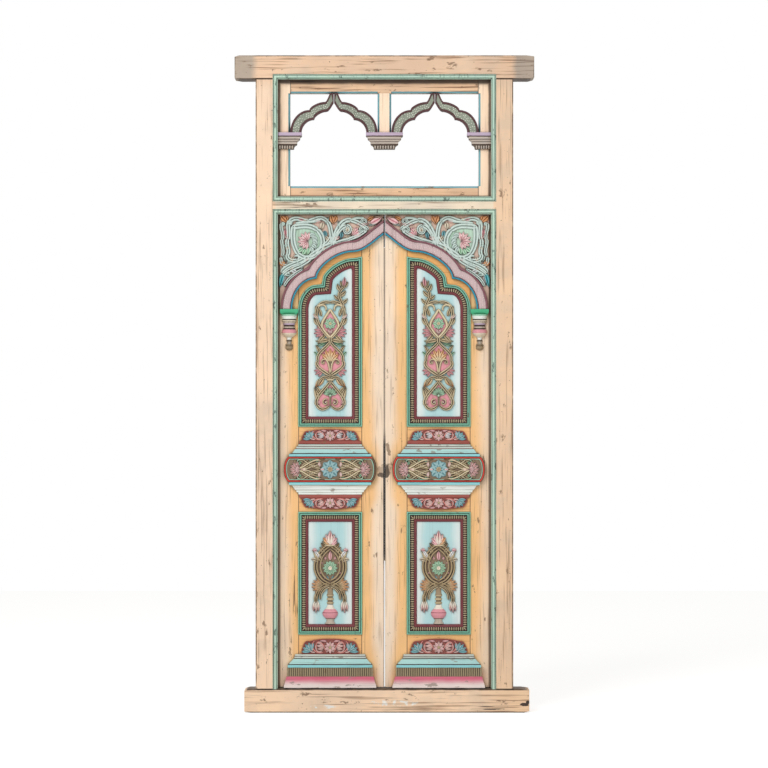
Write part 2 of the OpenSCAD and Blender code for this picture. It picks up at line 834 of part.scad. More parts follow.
// Plain edge left round the scrolls of the spandrel and the crests
scroll_margin = 1;
module spandrel_scrolls() {
    translate([trim_out, trim_head - spandrel_motif.y])
        scale([(trim_in - trim_out) / spandrel_motif.x, 1]) {
            stem(bend([[48, 224], [92, 232], [128, 232], [147, 212]]), 18, 17);
            stem(bend([[145, 215], [172, 194], [176, 146], [137, 117]]), 17, 17);
            stem(bend([[52, 230], [46, 190], [46, 150], [72, 120]]), 18, 16);
            stem(bend([[68, 124], [84, 104], [114, 100], [142, 121]]), 16, 16);
            fan([106, 172], 5, 95, 245, 36, 14);
            stem(bend([[34, 244], [58, 270], [86, 244], [108, 246]]), 13, 13);
            stem(bend([[104, 246], [134, 250], [152, 276], [180, 240]]), 13, 12);
            stem(bend([[178, 244], [190, 226], [192, 196], [194, 158]]), 12, 14);
            stem(bend([[36, 250], [22, 226], [40, 200], [28, 176]]), 13, 12);
            stem(bend([[29, 180], [20, 156], [38, 140], [28, 118]]), 12, 12);
            stem(bend([[28, 124], [22, 104], [44, 92], [66, 102]]), 12, 11);
            petal([14, 52], 250, 54, 20);
            petal([4, 264], -50, 34, 19);
            petal([190, 266], -80, 34, 18);
            stem(bend([[8, 34], [32, 74], [74, 74], [116, 112]]), 12, 14);
            stem(bend([[112, 108], [140, 130], [166, 148], [198, 160]]), 14, 15);
            stem(bend([[194, 154], [204, 200], [226, 262], [268, 249]]), 15, 14);
            stem(bend([[262, 251], [292, 244], [308, 230], [330, 216]]), 14, 9);
            stem(bend([[198, 160], [206, 192], [222, 222], [246, 230]]), 12, 12);
            curl([248, 213], 17, 4, 95, -420, 12, 7, 12);
            stem(bend([[196, 158], [236, 178], [286, 178], [320, 214]]), 13, 11);
            curl([306, 214], 14, 4, -60, 400, 9, 6, 10);
            fan([268, 190], 4, 0, 70, 40, 15);
            petal([338, 238], 26, 48, 22);
        }
}

module spandrel() {
    color("#BFD4CC") {
        relief(leaf_front, spandrel_t) spandrel_area();
        relief(leaf_front, spandrel_t + scroll_rise) intersection() {
            spandrel_scrolls();
            offset(delta = -scroll_margin) spandrel_area();
        }
    }
}

// Half outline of the turned pendant: share of its height from the top, share of half its width
pendant_line = [[0, 0.9], [0.13, 0.9], [0.2, 0.76], [0.22, 0.7], [0.25, 0.7], [0.36, 0.7], [0.38, 0.56],
    [0.44, 0.56], [0.47, 0.74], [0.54, 0.8], [0.6, 0.74], [0.66, 0.5], [0.7, 0.26], [0.74, 0.26],
    [0.76, 0.42], [0.8, 0.42], [0.82, 0.3], [0.86, 0.4], [0.92, 0.4], [0.97, 0.22], [1, 0]];
pendant_cap_share = 0.12;

module pendant() {
    x = trim_out + pendant_w / 2;
    z = spring_z - plant_gap;
    cap_h = pendant_cap_share * pendant_h;
    color("#3DB36B") block([x - pendant_w / 2, leaf_front - band_rise - band_edge_rise, z - cap_h],
                           [x + pendant_w / 2, leaf_front, z]);
    color("#D98A94") intersection() {
        translate([x, leaf_front, z]) rotate_extrude($fn = 48)
            polygon(concat([[0, 0]], [for (p = pendant_line) [p[1] * pendant_w / 2, -p[0] * pendant_h]]));
        block([x - pendant_w, leaf_front - pendant_w, z - pendant_h - 1], [x + pendant_w, leaf_front, z + 1]);
    }
}

// Body of the upper carving, drawn in a box of width 112 and height 404 about its foot
upper_motif = [112, 404];
module upper_carving_lines(k) {
    pair() {
        stem(bend([[0, 104], [-24, 72], [-62, 42], [-48, 18]]), 9 * k, 9 * k);
        stem(bend([[-48, 18], [-40, 0], [-20, 0], [-5, 14]]), 9 * k, 6 * k);
        curl([-17, 30], 13, 3, 60, 380, 7 * k, 4 * k);
        petal([-44, 40], 100, 40, 14 * k);
        stem(bend([[-4, 112], [-20, 130], [-36, 120], [-46, 92]]), 8 * k, 6 * k);
        petal([-28, 116], 250, 34, 15 * k);
        stem(bend([[0, 252], [-18, 226], [-54, 212], [-44, 182]]), 9 * k, 8 * k);
        stem(bend([[-44, 182], [-60, 166], [-34, 150], [0, 130]]), 8 * k, 10 * k);
        stem(bend([[-2, 140], [-2, 172], [-12, 196], [-30, 186]]), 7 * k, 5 * k);
        fan([-30, 150], 3, 180, 240, 24, 9 * k);
        petal([-3, 260], 200, 44, 12 * k);
        stem(bend([[0, 374], [-12, 350], [-38, 326], [-28, 306]]), 7 * k, 7 * k);
        stem(bend([[0, 398], [-22, 408], [-60, 392], [-50, 340]]), 8 * k, 8 * k);
        stem(bend([[-50, 340], [-44, 312], [-22, 288], [0, 272]]), 8 * k, 10 * k);
        fan([-26, 296], 4, 150, 230, 30, 10 * k);
        petal([-43, 318], 140, 24, 11 * k);
    }
    stem([[0, 268], [0, 250]], 12 * k, 12 * k);
    stem([[0, 132], [0, 100]], 16 * k, 12 * k);
}

// The curl and the bud over it, drawn 90 high from the top of the body
bud_motif_h = 90;
module upper_carving_bud(k) {
    stem(bend([[46, -32], [54, -4], [24, 12], [36, 38]]), 10 * k, 8 * k);
    stem(bend([[36, 38], [42, 50], [50, 48], [50, 58]]), 8 * k, 7 * k);
    petal([35, 21], 20, 26, 11 * k);
    petal([38, 42], 130, 22, 11 * k);
    petal([50, 52], 84, 38, 13 * k);
}

module upper_carving_flowers() {
    rosette([0, 318], 8, 20, 13);
    fan([0, 186], 5, 50, 130, 42, 16);
    fan([0, 62], 5, 40, 140, 26, 12);
}

// Painted ground inside the two hearts and the lozenge
module upper_carving_grounds() {
    pair() {
        polygon(concat(bend([[0, 104], [-24, 72], [-62, 42], [-48, 18]]),
                       bend([[-48, 18], [-40, 0], [-20, 0], [0, 14]])));
        polygon(concat(bend([[0, 252], [-18, 226], [-54, 212], [-44, 182]]),
                       bend([[-44, 182], [-60, 166], [-34, 150], [0, 130]])));
        polygon(concat(bend([[0, 374], [-12, 350], [-38, 326], [-28, 306]]), [[0, 272]]));
    }
}

// The ridges of a carving are set in from the edges of its stems by this much
ledge = 0.15;
// Width of a ridge as a share of its stem
ridge_share = 0.45;

// Top of the body of the upper carving, under the cusp of the moulding
upper_shoulder = upper_head - arch_cusp_drop - arch_reveal - mould_w - upper_carving_head;

// Places a motif of size box on the middle of the leaf's field, between two heights
module on_field(box, side, z0, z1) {
    translate([field_mid, z0]) scale([field_scale(box, side), (z1 - z0) / box.y]) children();
}

function field_scale(box, side) = (field_w - 2 * (mould_w + side)) / box.x;

// The cusp of the arch and its moulding clear the left edge of the bud
bud_left = 24;
bud_clear = 14.1;
bud_x = field_mid + field_scale(upper_motif, upper_carving_side) * bud_left;
cusp_x = bud_x - bud_clear - mould_w - arch_reveal;

module on_upper_field() {
    on_field(upper_motif, upper_carving_side, upper_foot + mould_w + upper_carving_foot, upper_shoulder)
        children();
}

module on_upper_bud() {
    on_field([upper_motif.x, bud_motif_h], upper_carving_side, upper_shoulder,
             upper_head + arch_crown_rise - arch_reveal - mould_w - upper_bud_head) children();
}

module on_lower_field() {
    on_field(lower_motif, lower_carving_side, lower_foot + mould_w + lower_carving_foot,
             lower_head - mould_w - lower_carving_head) children();
}

module upper_carving_shape(k) {
    on_upper_field() {
        upper_carving_lines(k);
        upper_carving_flowers();
    }
    on_upper_bud() upper_carving_bud(k);
}

module upper_carving() {
    color("#E79AA5") relief(panel_front, heart_rise) on_upper_field() upper_carving_grounds();
    color("#B39B72") {
        relief(panel_front, stem_rise, ledge) upper_carving_shape(1);
        relief(panel_front - stem_rise, ridge_rise) intersection() {
            upper_carving_shape(ridge_share);
            offset(delta = -ledge) upper_carving_shape(1);
        }
    }
}

// Lower carving, drawn in a box of width 134 and height 342 about its foot
lower_motif = [134, 342];
module lower_carving_lines(k) {
    pair() {
        stem(bend([[0, 148], [-74, 168], [-66, 262], [0, 292]], 9), 12 * k, 10 * k);
        stem(bend([[0, 160], [-50, 178], [-48, 250], [0, 280]], 9), 7 * k, 7 * k);
        fan([-26, 140], 5, 150, 210, 36, 11 * k);
        stem(bend([[-6, 148], [-40, 140], [-56, 110], [-52, 80]]), 12 * k, 9 * k);
        petal([-52, 84], 262, 44, 13 * k);
        petal([-50, 84], 284, 42, 12 * k);
        petal([-42, 116], 232, 34, 11 * k);
        petal([-22, 134], 228, 36, 14 * k);
        petal([-44, 250], 128, 36, 14 * k);
        petal([-44, 246], 170, 26, 10 * k);
        petal([-16, 286], 160, 34, 13 * k);
    }
    stem([[0, 150], [0, 84]], 16 * k, 16 * k);
}

// Half outline of the vase, from its foot to its neck
vase_line = [[18, 0], [15, 20], [26, 34], [27, 46], [16, 62],
    [10, 80], [14, 86], [10, 94], [13, 100], [9, 112]];

module lower_carving_flowers() {
    rosette([0, 206], 12, 27, 12);
    fan([0, 286], 5, 20, 160, 40, 16);
    petal([0, 290], 90, 52, 20);
    petal([0, 236], 90, 34, 13);
    polygon(concat(vase_line, backwards(flip(vase_line))));
}

// Ground inside the oval
module lower_carving_ground() {
    pair() polygon(bend([[0, 148], [-74, 168], [-66, 262], [0, 292]], 9));
}

module lower_carving_shape(k) {
    on_lower_field() {
        lower_carving_lines(k);
        lower_carving_flowers();
    }
}

module lower_carving() {
    color("#E79AA5") relief(panel_front, heart_rise) on_lower_field() lower_carving_ground();
    color("#B39B72") {
        relief(panel_front, stem_rise, ledge) lower_carving_shape(1);
        relief(panel_front - stem_rise, ridge_rise) intersection() {
            lower_carving_shape(ridge_share);
            offset(delta = -ledge) lower_carving_shape(1);
        }
    }
}

// Middle of the lock rail's ornament
cartouche_z = (lower_head + upper_foot) / 2;
// Outline of the stepped work from its middle up: share of its height, width set in, share of its rise
lock_steps = [[0, 20, 0.86], [0.2, 20, 0.86], [0.2, 32, 0.66], [0.3, 36, 0.54], [0.5, 42, 0.48],
    [0.5, 46, 0.42], [0.66, 49, 0.4], [0.66, 54, 0.34], [0.8, 54, 0.34], [0.8, 57, 0.28], [1, 58, 0.28]];

// Stepped work that runs up from height z by h, with its ends and its front returned alike
module returned_steps(steps, z, h, half_w, rise) {
    intersection() {
        slab_y(leaf_front - rise, leaf_front) polygon(concat(
            [for (s = steps) [field_mid + half_w - s[1], z + s[0] * h]],
            backwards([for (s = steps) [field_mid - half_w + s[1], z + s[0] * h]])));
        bar_x(field_mid - half_w, field_mid + half_w) polygon(concat(
            [for (s = steps) [leaf_front - s[2] * rise, z + s[0] * h]],
            [[leaf_front, z + h], [leaf_front, z + steps[0][0] * h]]));
    }
}

// A long panel with rounded points at its ends, its rim and the gap left inside the rim
cartouche_tip = 20;
cartouche_rim = 7;
cartouche_rim_gap = 2;
module cartouche_outline() {
    flat = cartouche_half_w - cartouche_tip;
    end = [for (a = [-90:22.5:90]) [flat + cartouche_tip * pow(cos(a), 1.2), cartouche_h / 2 * sin(a)]];
    translate([field_mid, cartouche_z]) polygon(concat(end, backwards(flip(end))));
}

// Leaves, end palmettes and the flower of the cartouche, about its middle
cartouche_motif = [172, 48];
module cartouche_carving() {
    translate([field_mid, cartouche_z])
        scale([cartouche_half_w / cartouche_motif.x, cartouche_h / 2 / cartouche_motif.y]) {
            rosette([0, 0], 8, 32, 22);
            pair() {
                fan([-116, 0], 7, 110, 250, 34, 10);
                for (up = [-1, 1]) {
                    stem(bend([[-110, 0], [-90, up * 6], [-70, up * 34], [-34, up * 32]]), 8, 6);
                    stem(bend([[-104, 0], [-80, up * 2], [-66, up * 18], [-40, up * 20]]), 6, 5);
                    petal([-92, up * 8], 90 + up * 40, 26, 10);
                    petal([-70, up * 22], up * 55, 14, 8);
                }
                petal([-92, 0], 0, 40, 12);
            }
        }
}

module cartouche() {
    ground = cartouche_rise - ridge_rise;
    color("#5FC4DC") {
        returned_steps(lock_steps, cartouche_z + cartouche_h / 2, steps_h, cartouche_half_w, cartouche_rise);
        returned_steps(lock_steps, cartouche_z - cartouche_h / 2, -steps_h, cartouche_half_w, cartouche_rise);
    }
    color("#8F8468") relief(leaf_front, ground - ridge_rise) cartouche_outline();
    color("#D8483F") relief(leaf_front, ground) difference() {
        cartouche_outline();
        offset(delta = -cartouche_rim) cartouche_outline();
    }
    color("#E79AA5") relief(leaf_front, ground) intersection() {
        cartouche_carving();
        offset(delta = -cartouche_rim - cartouche_rim_gap) cartouche_outline();
    }
}

// A low carved crest of height h: ground with a swept upper edge, a half flower, scrolls and corner leaves
module crest(h) {
    w = crest_half_w;
    half = concat([[-w, 0], [-w, h / 3]],
                  lobe([-0.96 * w, 0.4 * h], [-0.8 * w, 0.86 * h], 0.5, 4),
                  bend([[-0.72 * w, 0.84 * h], [-0.5 * w, 0.96 * h], [-0.3 * w, h], [0, h]], 5));
    relief(leaf_front, crest_rise) polygon(concat(half, backwards(flip(half))));
    relief(leaf_front, crest_rise + ridge_rise) intersection() {
        union() {
            fan([0, 5], 5, 20, 160, 0.74 * h, h / 3.4);
            pair() {
                stem(bend([[-14, 8], [-40, h], [-56, h / 2], [-44, h / 4]]), 7, 5);
                stem(bend([[-30, 6], [-60, 4], [-74, h / 2], [-62, 0.74 * h]]), 7, 5);
                petal([-70, 6], 60, 0.5 * h, 9);
                fan([-0.72 * w, 0.3 * h], 4, 90, 200, 0.5 * h, h / 4);
            }
        }
        offset(delta = -scroll_margin) polygon(concat(half, backwards(flip(half))));
    }
}

module upper_crest() {
    color("#A8574F") translate([field_mid, 0, cartouche_z + cartouche_h / 2 + steps_h + plant_gap])
        crest(crest_h);
}

module lower_crest() {
    color("#A8574F") translate([field_mid, 0, cartouche_z - cartouche_h / 2 - steps_h - plant_gap])
        mirror([0, 0, 1]) crest(crest_h);
}

module base_crest() {
    color("#A8574F") translate([field_mid, 0, leaf_foot + base_h + plant_gap]) crest(base_crest_h);
}

// Outline of the base from its foot up: share of its height, width set in, share of its rise
plinth_share = 0.345;
reed_share = 0.61;
base_foot_steps = [[0, 0, 1], [0.06, 1, 1], [0.3, 9, 0.86], [plinth_share, 12, 0.86]];
base_head_steps = [[reed_share, 15, 0.9], [0.71, 15, 0.9], [0.71, 19, 0.74], [0.8, 30, 0.6],
    [0.88, 38, 0.44], [0.88, 40, 0.4], [1, 40, 0.4]];
// The reeds: set in from the foot, and their share of its rise
reed_inset = 14;
reed_rise_share = 0.84;

// The reeded band, a row of half rounds standing between two heights
module reed_band(z0, z1, half_w, rise) {
    pitch = 2 * half_w / reeds;
    bar_z(z0, z1) polygon(concat(
        [[field_mid + half_w, leaf_front], [field_mid - half_w, leaf_front]],
        [for (i = [0:reeds - 1]) for (half = [0, 1])
            [field_mid - half_w + pitch * (i + half / 2), leaf_front - rise + pitch / 2 * (1 - half)]],
        [[field_mid + half_w, leaf_front - rise + pitch / 2]]));
}

module base_plinth() {
    color("#E07A92") returned_steps(base_foot_steps, leaf_foot, base_h, base_half_w, base_rise);
    color("#8F8468") reed_band(leaf_foot + plinth_share * base_h, leaf_foot + reed_share * base_h,
                               base_half_w - reed_inset, reed_rise_share * base_rise);
    color("#5FC4DC") returned_steps(base_head_steps, leaf_foot, base_h, base_half_w, base_rise);
}

lintel();
sill();
jamb();  // left_jamb
mirror([1, 0, 0]) jamb();  // right_jamb
transom_rail();
bead_level(lintel_z, 1);  // light_bead_top
bead_level(light_z, -1);  // light_bead_bottom
light_bead_side();  // light_bead_left
mirror([1, 0, 0]) light_bead_side();  // light_bead_right
bead_level(rail_z, 1);  // door_bead_top
door_bead_side();  // door_bead_left
mirror([1, 0, 0]) door_bead_side();  // door_bead_right
sash_top_rail();
sash_bottom_rail();
sash_stile();  // sash_left_stile
mirror([1, 0, 0]) sash_stile();  // sash_right_stile
sash_mullion();
light_arch();  // left_light_arch
mirror([1, 0, 0]) light_arch();  // right_light_arch
side_capital();  // left_capital
centre_capital();
mirror([1, 0, 0]) side_capital();  // right_capital
hinge_stile();  // left_hinge_stile
meeting_stile();  // left_meeting_stile
top_rail();  // left_top_rail
lock_rail();  // left_lock_rail
bottom_rail();  // left_bottom_rail
upper_panel();  // left_upper_panel
lower_panel();  // left_lower_panel
spandrel();  // left_spandrel
arch_band();  // left_arch_band
pendant();  // left_pendant
upper_moulding();  // left_upper_moulding
lower_moulding();  // left_lower_moulding
upper_carving();  // left_upper_carving
lower_carving();  // left_lower_carving
cartouche();  // left_cartouche
upper_crest();  // left_upper_crest
lower_crest();  // left_lower_crest
base_plinth();  // left_base_plinth
base_crest();  // left_base_crest
mirror([1, 0, 0]) hinge_stile();  // right_hinge_stile
mirror([1, 0, 0]) meeting_stile();  // right_meeting_stile
mirror([1, 0, 0]) top_rail();  // right_top_rail
mirror([1, 0, 0]) lock_rail();  // right_lock_rail
mirror([1, 0, 0]) bottom_rail();  // right_bottom_rail
mirror([1, 0, 0]) upper_panel();  // right_upper_panel
mirror([1, 0, 0]) lower_panel();  // right_lower_panel
mirror([1, 0, 0]) spandrel();  // right_spandrel
mirror([1, 0, 0]) arch_band();  // right_arch_band
mirror([1, 0, 0]) pendant();  // right_pendant
mirror([1, 0, 0]) upper_moulding();  // right_upper_moulding
mirror([1, 0, 0]) lower_moulding();  // right_lower_moulding
mirror([1, 0, 0]) upper_carving();  // right_upper_carving
mirror([1, 0, 0]) lower_carving();  // right_lower_carving
mirror([1, 0, 0]) cartouche();  // right_cartouche
mirror([1, 0, 0]) upper_crest();  // right_upper_crest
mirror([1, 0, 0]) lower_crest();  // right_lower_crest
mirror([1, 0, 0]) base_plinth();  // right_base_plinth
mirror([1, 0, 0]) base_crest();  // right_base_crest
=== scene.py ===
from functools import partial
from math import cos, hypot, log, pi, radians, sin, sqrt

import bmesh
import bpy
import numpy as np
from mathutils import Matrix, Vector, noise


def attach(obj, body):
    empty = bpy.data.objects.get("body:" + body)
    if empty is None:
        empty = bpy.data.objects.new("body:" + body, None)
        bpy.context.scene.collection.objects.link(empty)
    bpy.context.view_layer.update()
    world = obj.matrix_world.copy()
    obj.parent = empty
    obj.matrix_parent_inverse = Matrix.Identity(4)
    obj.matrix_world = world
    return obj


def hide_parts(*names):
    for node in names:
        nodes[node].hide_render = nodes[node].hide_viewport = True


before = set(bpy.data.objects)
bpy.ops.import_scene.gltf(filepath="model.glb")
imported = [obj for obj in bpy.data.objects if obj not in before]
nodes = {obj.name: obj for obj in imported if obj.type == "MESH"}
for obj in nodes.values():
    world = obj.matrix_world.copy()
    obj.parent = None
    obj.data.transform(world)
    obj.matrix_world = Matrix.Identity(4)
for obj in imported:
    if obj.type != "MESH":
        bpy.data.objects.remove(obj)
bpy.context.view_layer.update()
scene = bpy.context.scene
mm = 0.001
print("frame loaded with", len(nodes), "nodes")

# camera and light
view = {"distance": 12.0, "width": 2.857, "centre": (-0.0015, 1.220), "face": -0.03,
        "lampsAim": 1.2}  # metres; the picture is this wide at the face of the leaves
lens = bpy.data.cameras.new("lens")
lens.sensor_width = 36.0
lens.lens = lens.sensor_width * view["distance"] / view["width"]
lens.clip_end = 60
camera = bpy.data.objects.new("camera", lens)
camera.location = (view["centre"][0], view["face"] - view["distance"], view["centre"][1])
camera.rotation_euler = (pi / 2, 0, 0)
scene.collection.objects.link(camera)
scene.camera = camera
scene.view_settings.view_transform = "Standard"


def linear(hexColour):
    parts = [int(hexColour[i:i + 2], 16) / 255 for i in (1, 3, 5)]
    return tuple(c / 12.92 if c <= 0.04045 else ((c + 0.055) / 1.055) ** 2.4 for c in parts) + (1.0,)


# short names of the nodes used most: kind, settings, and the sockets in the order in which they are fed
nodeKinds = {
    "mix": ("ShaderNodeMix", {"data_type": "RGBA"}, (0, 6, 7)),
    "ramp": ("ShaderNodeMapRange", {"interpolation_type": "SMOOTHSTEP"}, (0, 1, 2, 3, 4)),
    "split": ("ShaderNodeSeparateXYZ", {}, (0,)),
}
for sumName in ("add", "subtract", "multiply", "divide", "absolute", "sqrt", "maximum"):
    nodeKinds[sumName] = ("ShaderNodeMath", {"operation": sumName.upper()}, (0, 1))


def addNode(tree, kind, *feeds, **settings):
    # feeds are values, hex colours, nodes or sockets, one for each socket in order, or a dictionary
    kind, usual, order = nodeKinds.get(kind, (kind, {}, ()))
    node = tree.nodes.new(kind)
    for key, value in dict(usual, **settings).items():
        setattr(node, key, value)
    named = feeds[0] if feeds and isinstance(feeds[0], dict) else dict(zip(order, feeds))
    for socket, source in named.items():
        if isinstance(source, str):
            source = linear(source)
        if isinstance(source, bpy.types.Node):
            source = next(output for output in source.outputs if output.enabled)
        if isinstance(source, bpy.types.NodeSocket):
            tree.links.new(source, node.inputs[socket])
        else:
            node.inputs[socket].default_value = source
    return node


lamps = {
    "key": {"at": (-2.6, -5.2, 4.6), "size": 3.0, "watts": 215},
    "fill": {"at": (3.4, -5.6, 2.0), "size": 4.0, "watts": 80},
}
for lampName, lamp in lamps.items():
    lampData = bpy.data.lights.new(lampName, "AREA")
    lampData.size = lamp["size"]
    lampData.energy = lamp["watts"]
    lampObject = bpy.data.objects.new(lampName, lampData)
    lampObject.location = lamp["at"]
    aim = Vector((0, 0, view["lampsAim"])) - Vector(lamp["at"])
    lampObject.rotation_euler = aim.to_track_quat("-Z", "Y").to_euler()
    scene.collection.objects.link(lampObject)

studio = {"skyLight": 0.40, "floorColour": "#E9E8E6", "floorSize": 14.0, "floorGlow": 0.62}


def seenDirectly(tree):
    # 1 where the camera, a reflection or glass looks straight at the surface
    path = addNode(tree, "ShaderNodeLightPath")
    some = addNode(tree, "maximum", path.outputs["Is Camera Ray"], path.outputs["Is Glossy Ray"])
    return addNode(tree, "maximum", some, path.outputs["Is Transmission Ray"])


world = bpy.data.worlds.new("studio")
scene.world = world
world.use_nodes = True
worldTree = world.node_tree
worldTree.nodes.clear()
sky = addNode(worldTree, "ShaderNodeBackground", {"Color": (1, 1, 1, 1), "Strength": studio["skyLight"]})
white = addNode(worldTree, "ShaderNodeBackground", {"Color": (1, 1, 1, 1), "Strength": 1.0})
skyMix = addNode(worldTree, "ShaderNodeMixShader", {0: seenDirectly(worldTree), 1: sky, 2: white})
addNode(worldTree, "ShaderNodeOutputWorld", {"Surface": skyMix})

floorPaint = bpy.data.materials.new("paleStudioFloor")
floorPaint.use_nodes = True
floorTree = floorPaint.node_tree
floorTree.nodes.clear()
matt = addNode(floorTree, "ShaderNodeBsdfDiffuse", {"Color": studio["floorColour"]})
glow = addNode(floorTree, "ShaderNodeEmission", {"Strength": studio["floorGlow"]})
lit = addNode(floorTree, "ShaderNodeAddShader", {0: matt, 1: glow})
floorMix = addNode(floorTree, "ShaderNodeMixShader", {0: seenDirectly(floorTree), 1: matt, 2: lit})
addNode(floorTree, "ShaderNodeOutputMaterial", {"Surface": floorMix})
floorMesh = bpy.data.meshes.new("floor")
half = studio["floorSize"] / 2
floorMesh.from_pydata([(-half, -half, 0), (half, -half, 0), (half, half, 0), (-half, half, 0)], [],
                      [(0, 1, 2, 3)])
floorMesh.materials.append(floorPaint)
floorObject = bpy.data.objects.new("floor", floorMesh)
scene.collection.objects.link(floorObject)
print("camera, lamps and floor set")


# finishes; put adds a node to the tree of the finish in hand
lumpsPerMetre = 500.0  # noise of this scale has lumps about 1 mm across


def pattern(put, place, sizeMm, detail=3.0, stretch=(1, 1, 1), roughness=0.55):
    # noise whose lumps are about sizeMm across, stretched along an axis by the given shares
    scaled = put("ShaderNodeMapping", {"Vector": place, "Scale": stretch})
    return put("ShaderNodeTexNoise", {"Vector": scaled, "Scale": lumpsPerMetre / sizeMm, "Detail": detail,
                                      "Roughness": roughness})


finishDefaults = {
    "shade": None,      # painted shade in the grooves, with the dirt that settles there
    "light": None,      # painted highlight on the ridges
    "tip": None,        # colour at the far end of a leaf or petal
    "bare": "#7A5E45",  # timber or old paint under a chip
    "chips": 0.30,      # share of the surface that has lost paint, roughly
    "chipSize": 9.0,    # mm
    "mottle": 0.10,     # how far the colour wanders
    "dirt": 0.55,       # how dark the painted shade and dirt in the corners get
    "dirtReach": 7.0,   # mm, how far the painted shade and dirt in the corners reach
    "grain": "z",       # the way the timber runs
    "grainDepth": 0.12,
    "roughness": 0.62,
}
# how far grain and chips are drawn out along the timber
grainStretch = {"x": ((0.03, 1, 1), (0.4, 1, 1)), "z": ((1, 1, 0.03), (1, 1, 0.4))}


def agedPaint(name, paint, extra=None, **changes):
    # hand-brushed oil or distemper paint on hardwood: matt, patchy, with painted highlight on the ridges and
    # painted shade with dirt in the corners
    look = dict(finishDefaults, **changes)
    material = bpy.data.materials.new(name)
    material.use_nodes = True
    tree = material.node_tree
    tree.nodes.clear()
    put = partial(addNode, tree)
    place = put("ShaderNodeTexCoord").outputs["Object"]
    colour = put("ShaderNodeRGB")
    colour.outputs[0].default_value = linear(paint)
    if look["tip"] or look["shade"] or look["light"]:
        stroke = put("ShaderNodeAttribute", attribute_name="stroke", attribute_type="GEOMETRY")
        along, across, ridge = put("split", stroke.outputs["Vector"]).outputs
        if look["tip"]:
            wander = put("add", along, put("multiply", pattern(put, place, 12), 0.3))
            colour = put("mix", put("ramp", wander, 0.45, 0.95), colour, look["tip"])
        # painted highlight on the ridges and painted shade in the gouges, by how far each point stands out
        if look["light"]:
            colour = put("mix", put("ramp", ridge, 0.72, 1.0, 0.0, 0.75), colour, look["light"])
        if look["shade"]:
            colour = put("mix", put("ramp", ridge, 0.5, 0.0, 0.0, 0.85), colour, look["shade"])
    if extra:
        colour = extra(put, place, colour)
    # slow wandering of the colour, then timber grain drawn about 3 mm wide so that it shows
    cloud = pattern(put, place, 90)
    colour = put("mix", put("ramp", cloud, 0.35, 0.7, 0.0, look["mottle"] * 6), colour,
                 (1.14, 1.12, 1.08, 1.0), blend_type="MULTIPLY")
    grainLong, chipLong = grainStretch[look["grain"]]
    grain = pattern(put, place, 3.2, 2.0, grainLong)
    streak = put("ramp", grain, 0.52, 0.72, 0.0, look["mottle"] * 3.0)
    colour = put("mix", streak, colour, look["bare"], blend_type="MULTIPLY")
    # chips that show what is underneath
    chip = pattern(put, place, look["chipSize"], 5.0, chipLong, 0.65)
    edge = 0.72 - 0.22 * look["chips"]
    lost = put("ramp", chip, edge, edge + 0.05, 0.0, 0.8)
    colour = put("mix", lost, colour, look["bare"])
    # painted shade in the corners, from ambient occlusion, with the dirt that settles there
    corner = put("ShaderNodeAmbientOcclusion", {"Distance": look["dirtReach"] * mm}, samples=6)
    cornerShadeAndDirt = put("multiply", put("ramp", corner.outputs["AO"], 0.85, 0.25), look["dirt"])
    colour = put("mix", cornerShadeAndDirt, colour, "#3A2A22")
    relief = put("add", put("multiply", grain, look["grainDepth"]), put("multiply", lost, -0.5))
    bump = put("ShaderNodeBump", {"Strength": 0.5, "Distance": 1.2 * mm, "Height": relief})
    sheen = put("ramp", pattern(put, place, 25), 0.3, 0.7, look["roughness"] - 0.08, look["roughness"] + 0.12)
    shader = put("ShaderNodeBsdfPrincipled", {"Base Color": colour, "Roughness": sheen, "IOR": 1.46,
                                              "Normal": bump})
    put("ShaderNodeOutputMaterial", {"Surface": shader})
    return material


def edgeMask(put):
    # 1 on the flats cut along an edge, where two parts of the normal are large together
    normal = put("ShaderNodeNewGeometry").outputs["True Normal"]
    parts = put("split", normal).outputs
    sides = put("multiply", put("absolute", parts[0]), put("absolute", parts[1]))
    levels = put("multiply", put("absolute", parts[2]), put("absolute", parts[1]))
    return put("ramp", put("maximum", sides, levels), 0.25, 0.4)


def darkest(put, colour, masks, grime="#33261F"):
    # darkens towards the grime colour where any mask is high: real dark joints and splits, and painted shade
    # where the callers pass it
    share = masks[0]
    for mask in masks[1:]:
        share = put("maximum", share, mask)
    return put("mix", share, colour, grime)


def blot(put, place, centre, reach, ragged=0.9):
    # a worn patch of uneven outline, about reach wide and high, in metres from its centre in X and Z
    x, y, z = put("split", place).outputs
    dx = put("divide", put("subtract", x, centre[0]), reach[0])
    dz = put("divide", put("subtract", z, centre[1]), reach[1])
    far = put("sqrt", put("add", put("multiply", dx, dx), put("multiply", dz, dz)))
    uneven = put("multiply", put("subtract", pattern(put, place, 12, 5.0), 0.5), ragged * 2)
    return put("ramp", put("add", far, uneven), 1.05, 0.85)


def cracks(put, place, centre, reach, stretch):
    # fine splits along the grain inside a patch
    lines = put("ramp", pattern(put, place, 3.4, 2.0, stretch), 0.56, 0.63)
    return put("multiply", lines, blot(put, place, centre, reach, 0.4))


# heights and half widths in metres at which joints and edges of the frame lie
frameAt = {"sillTop": 0.087, "railMid": 1.884, "lintelFoot": 2.352, "head": 2.439, "jambSide": 0.477,
           "hornEnd": 0.555, "face": -0.059, "sashStile": 0.351}


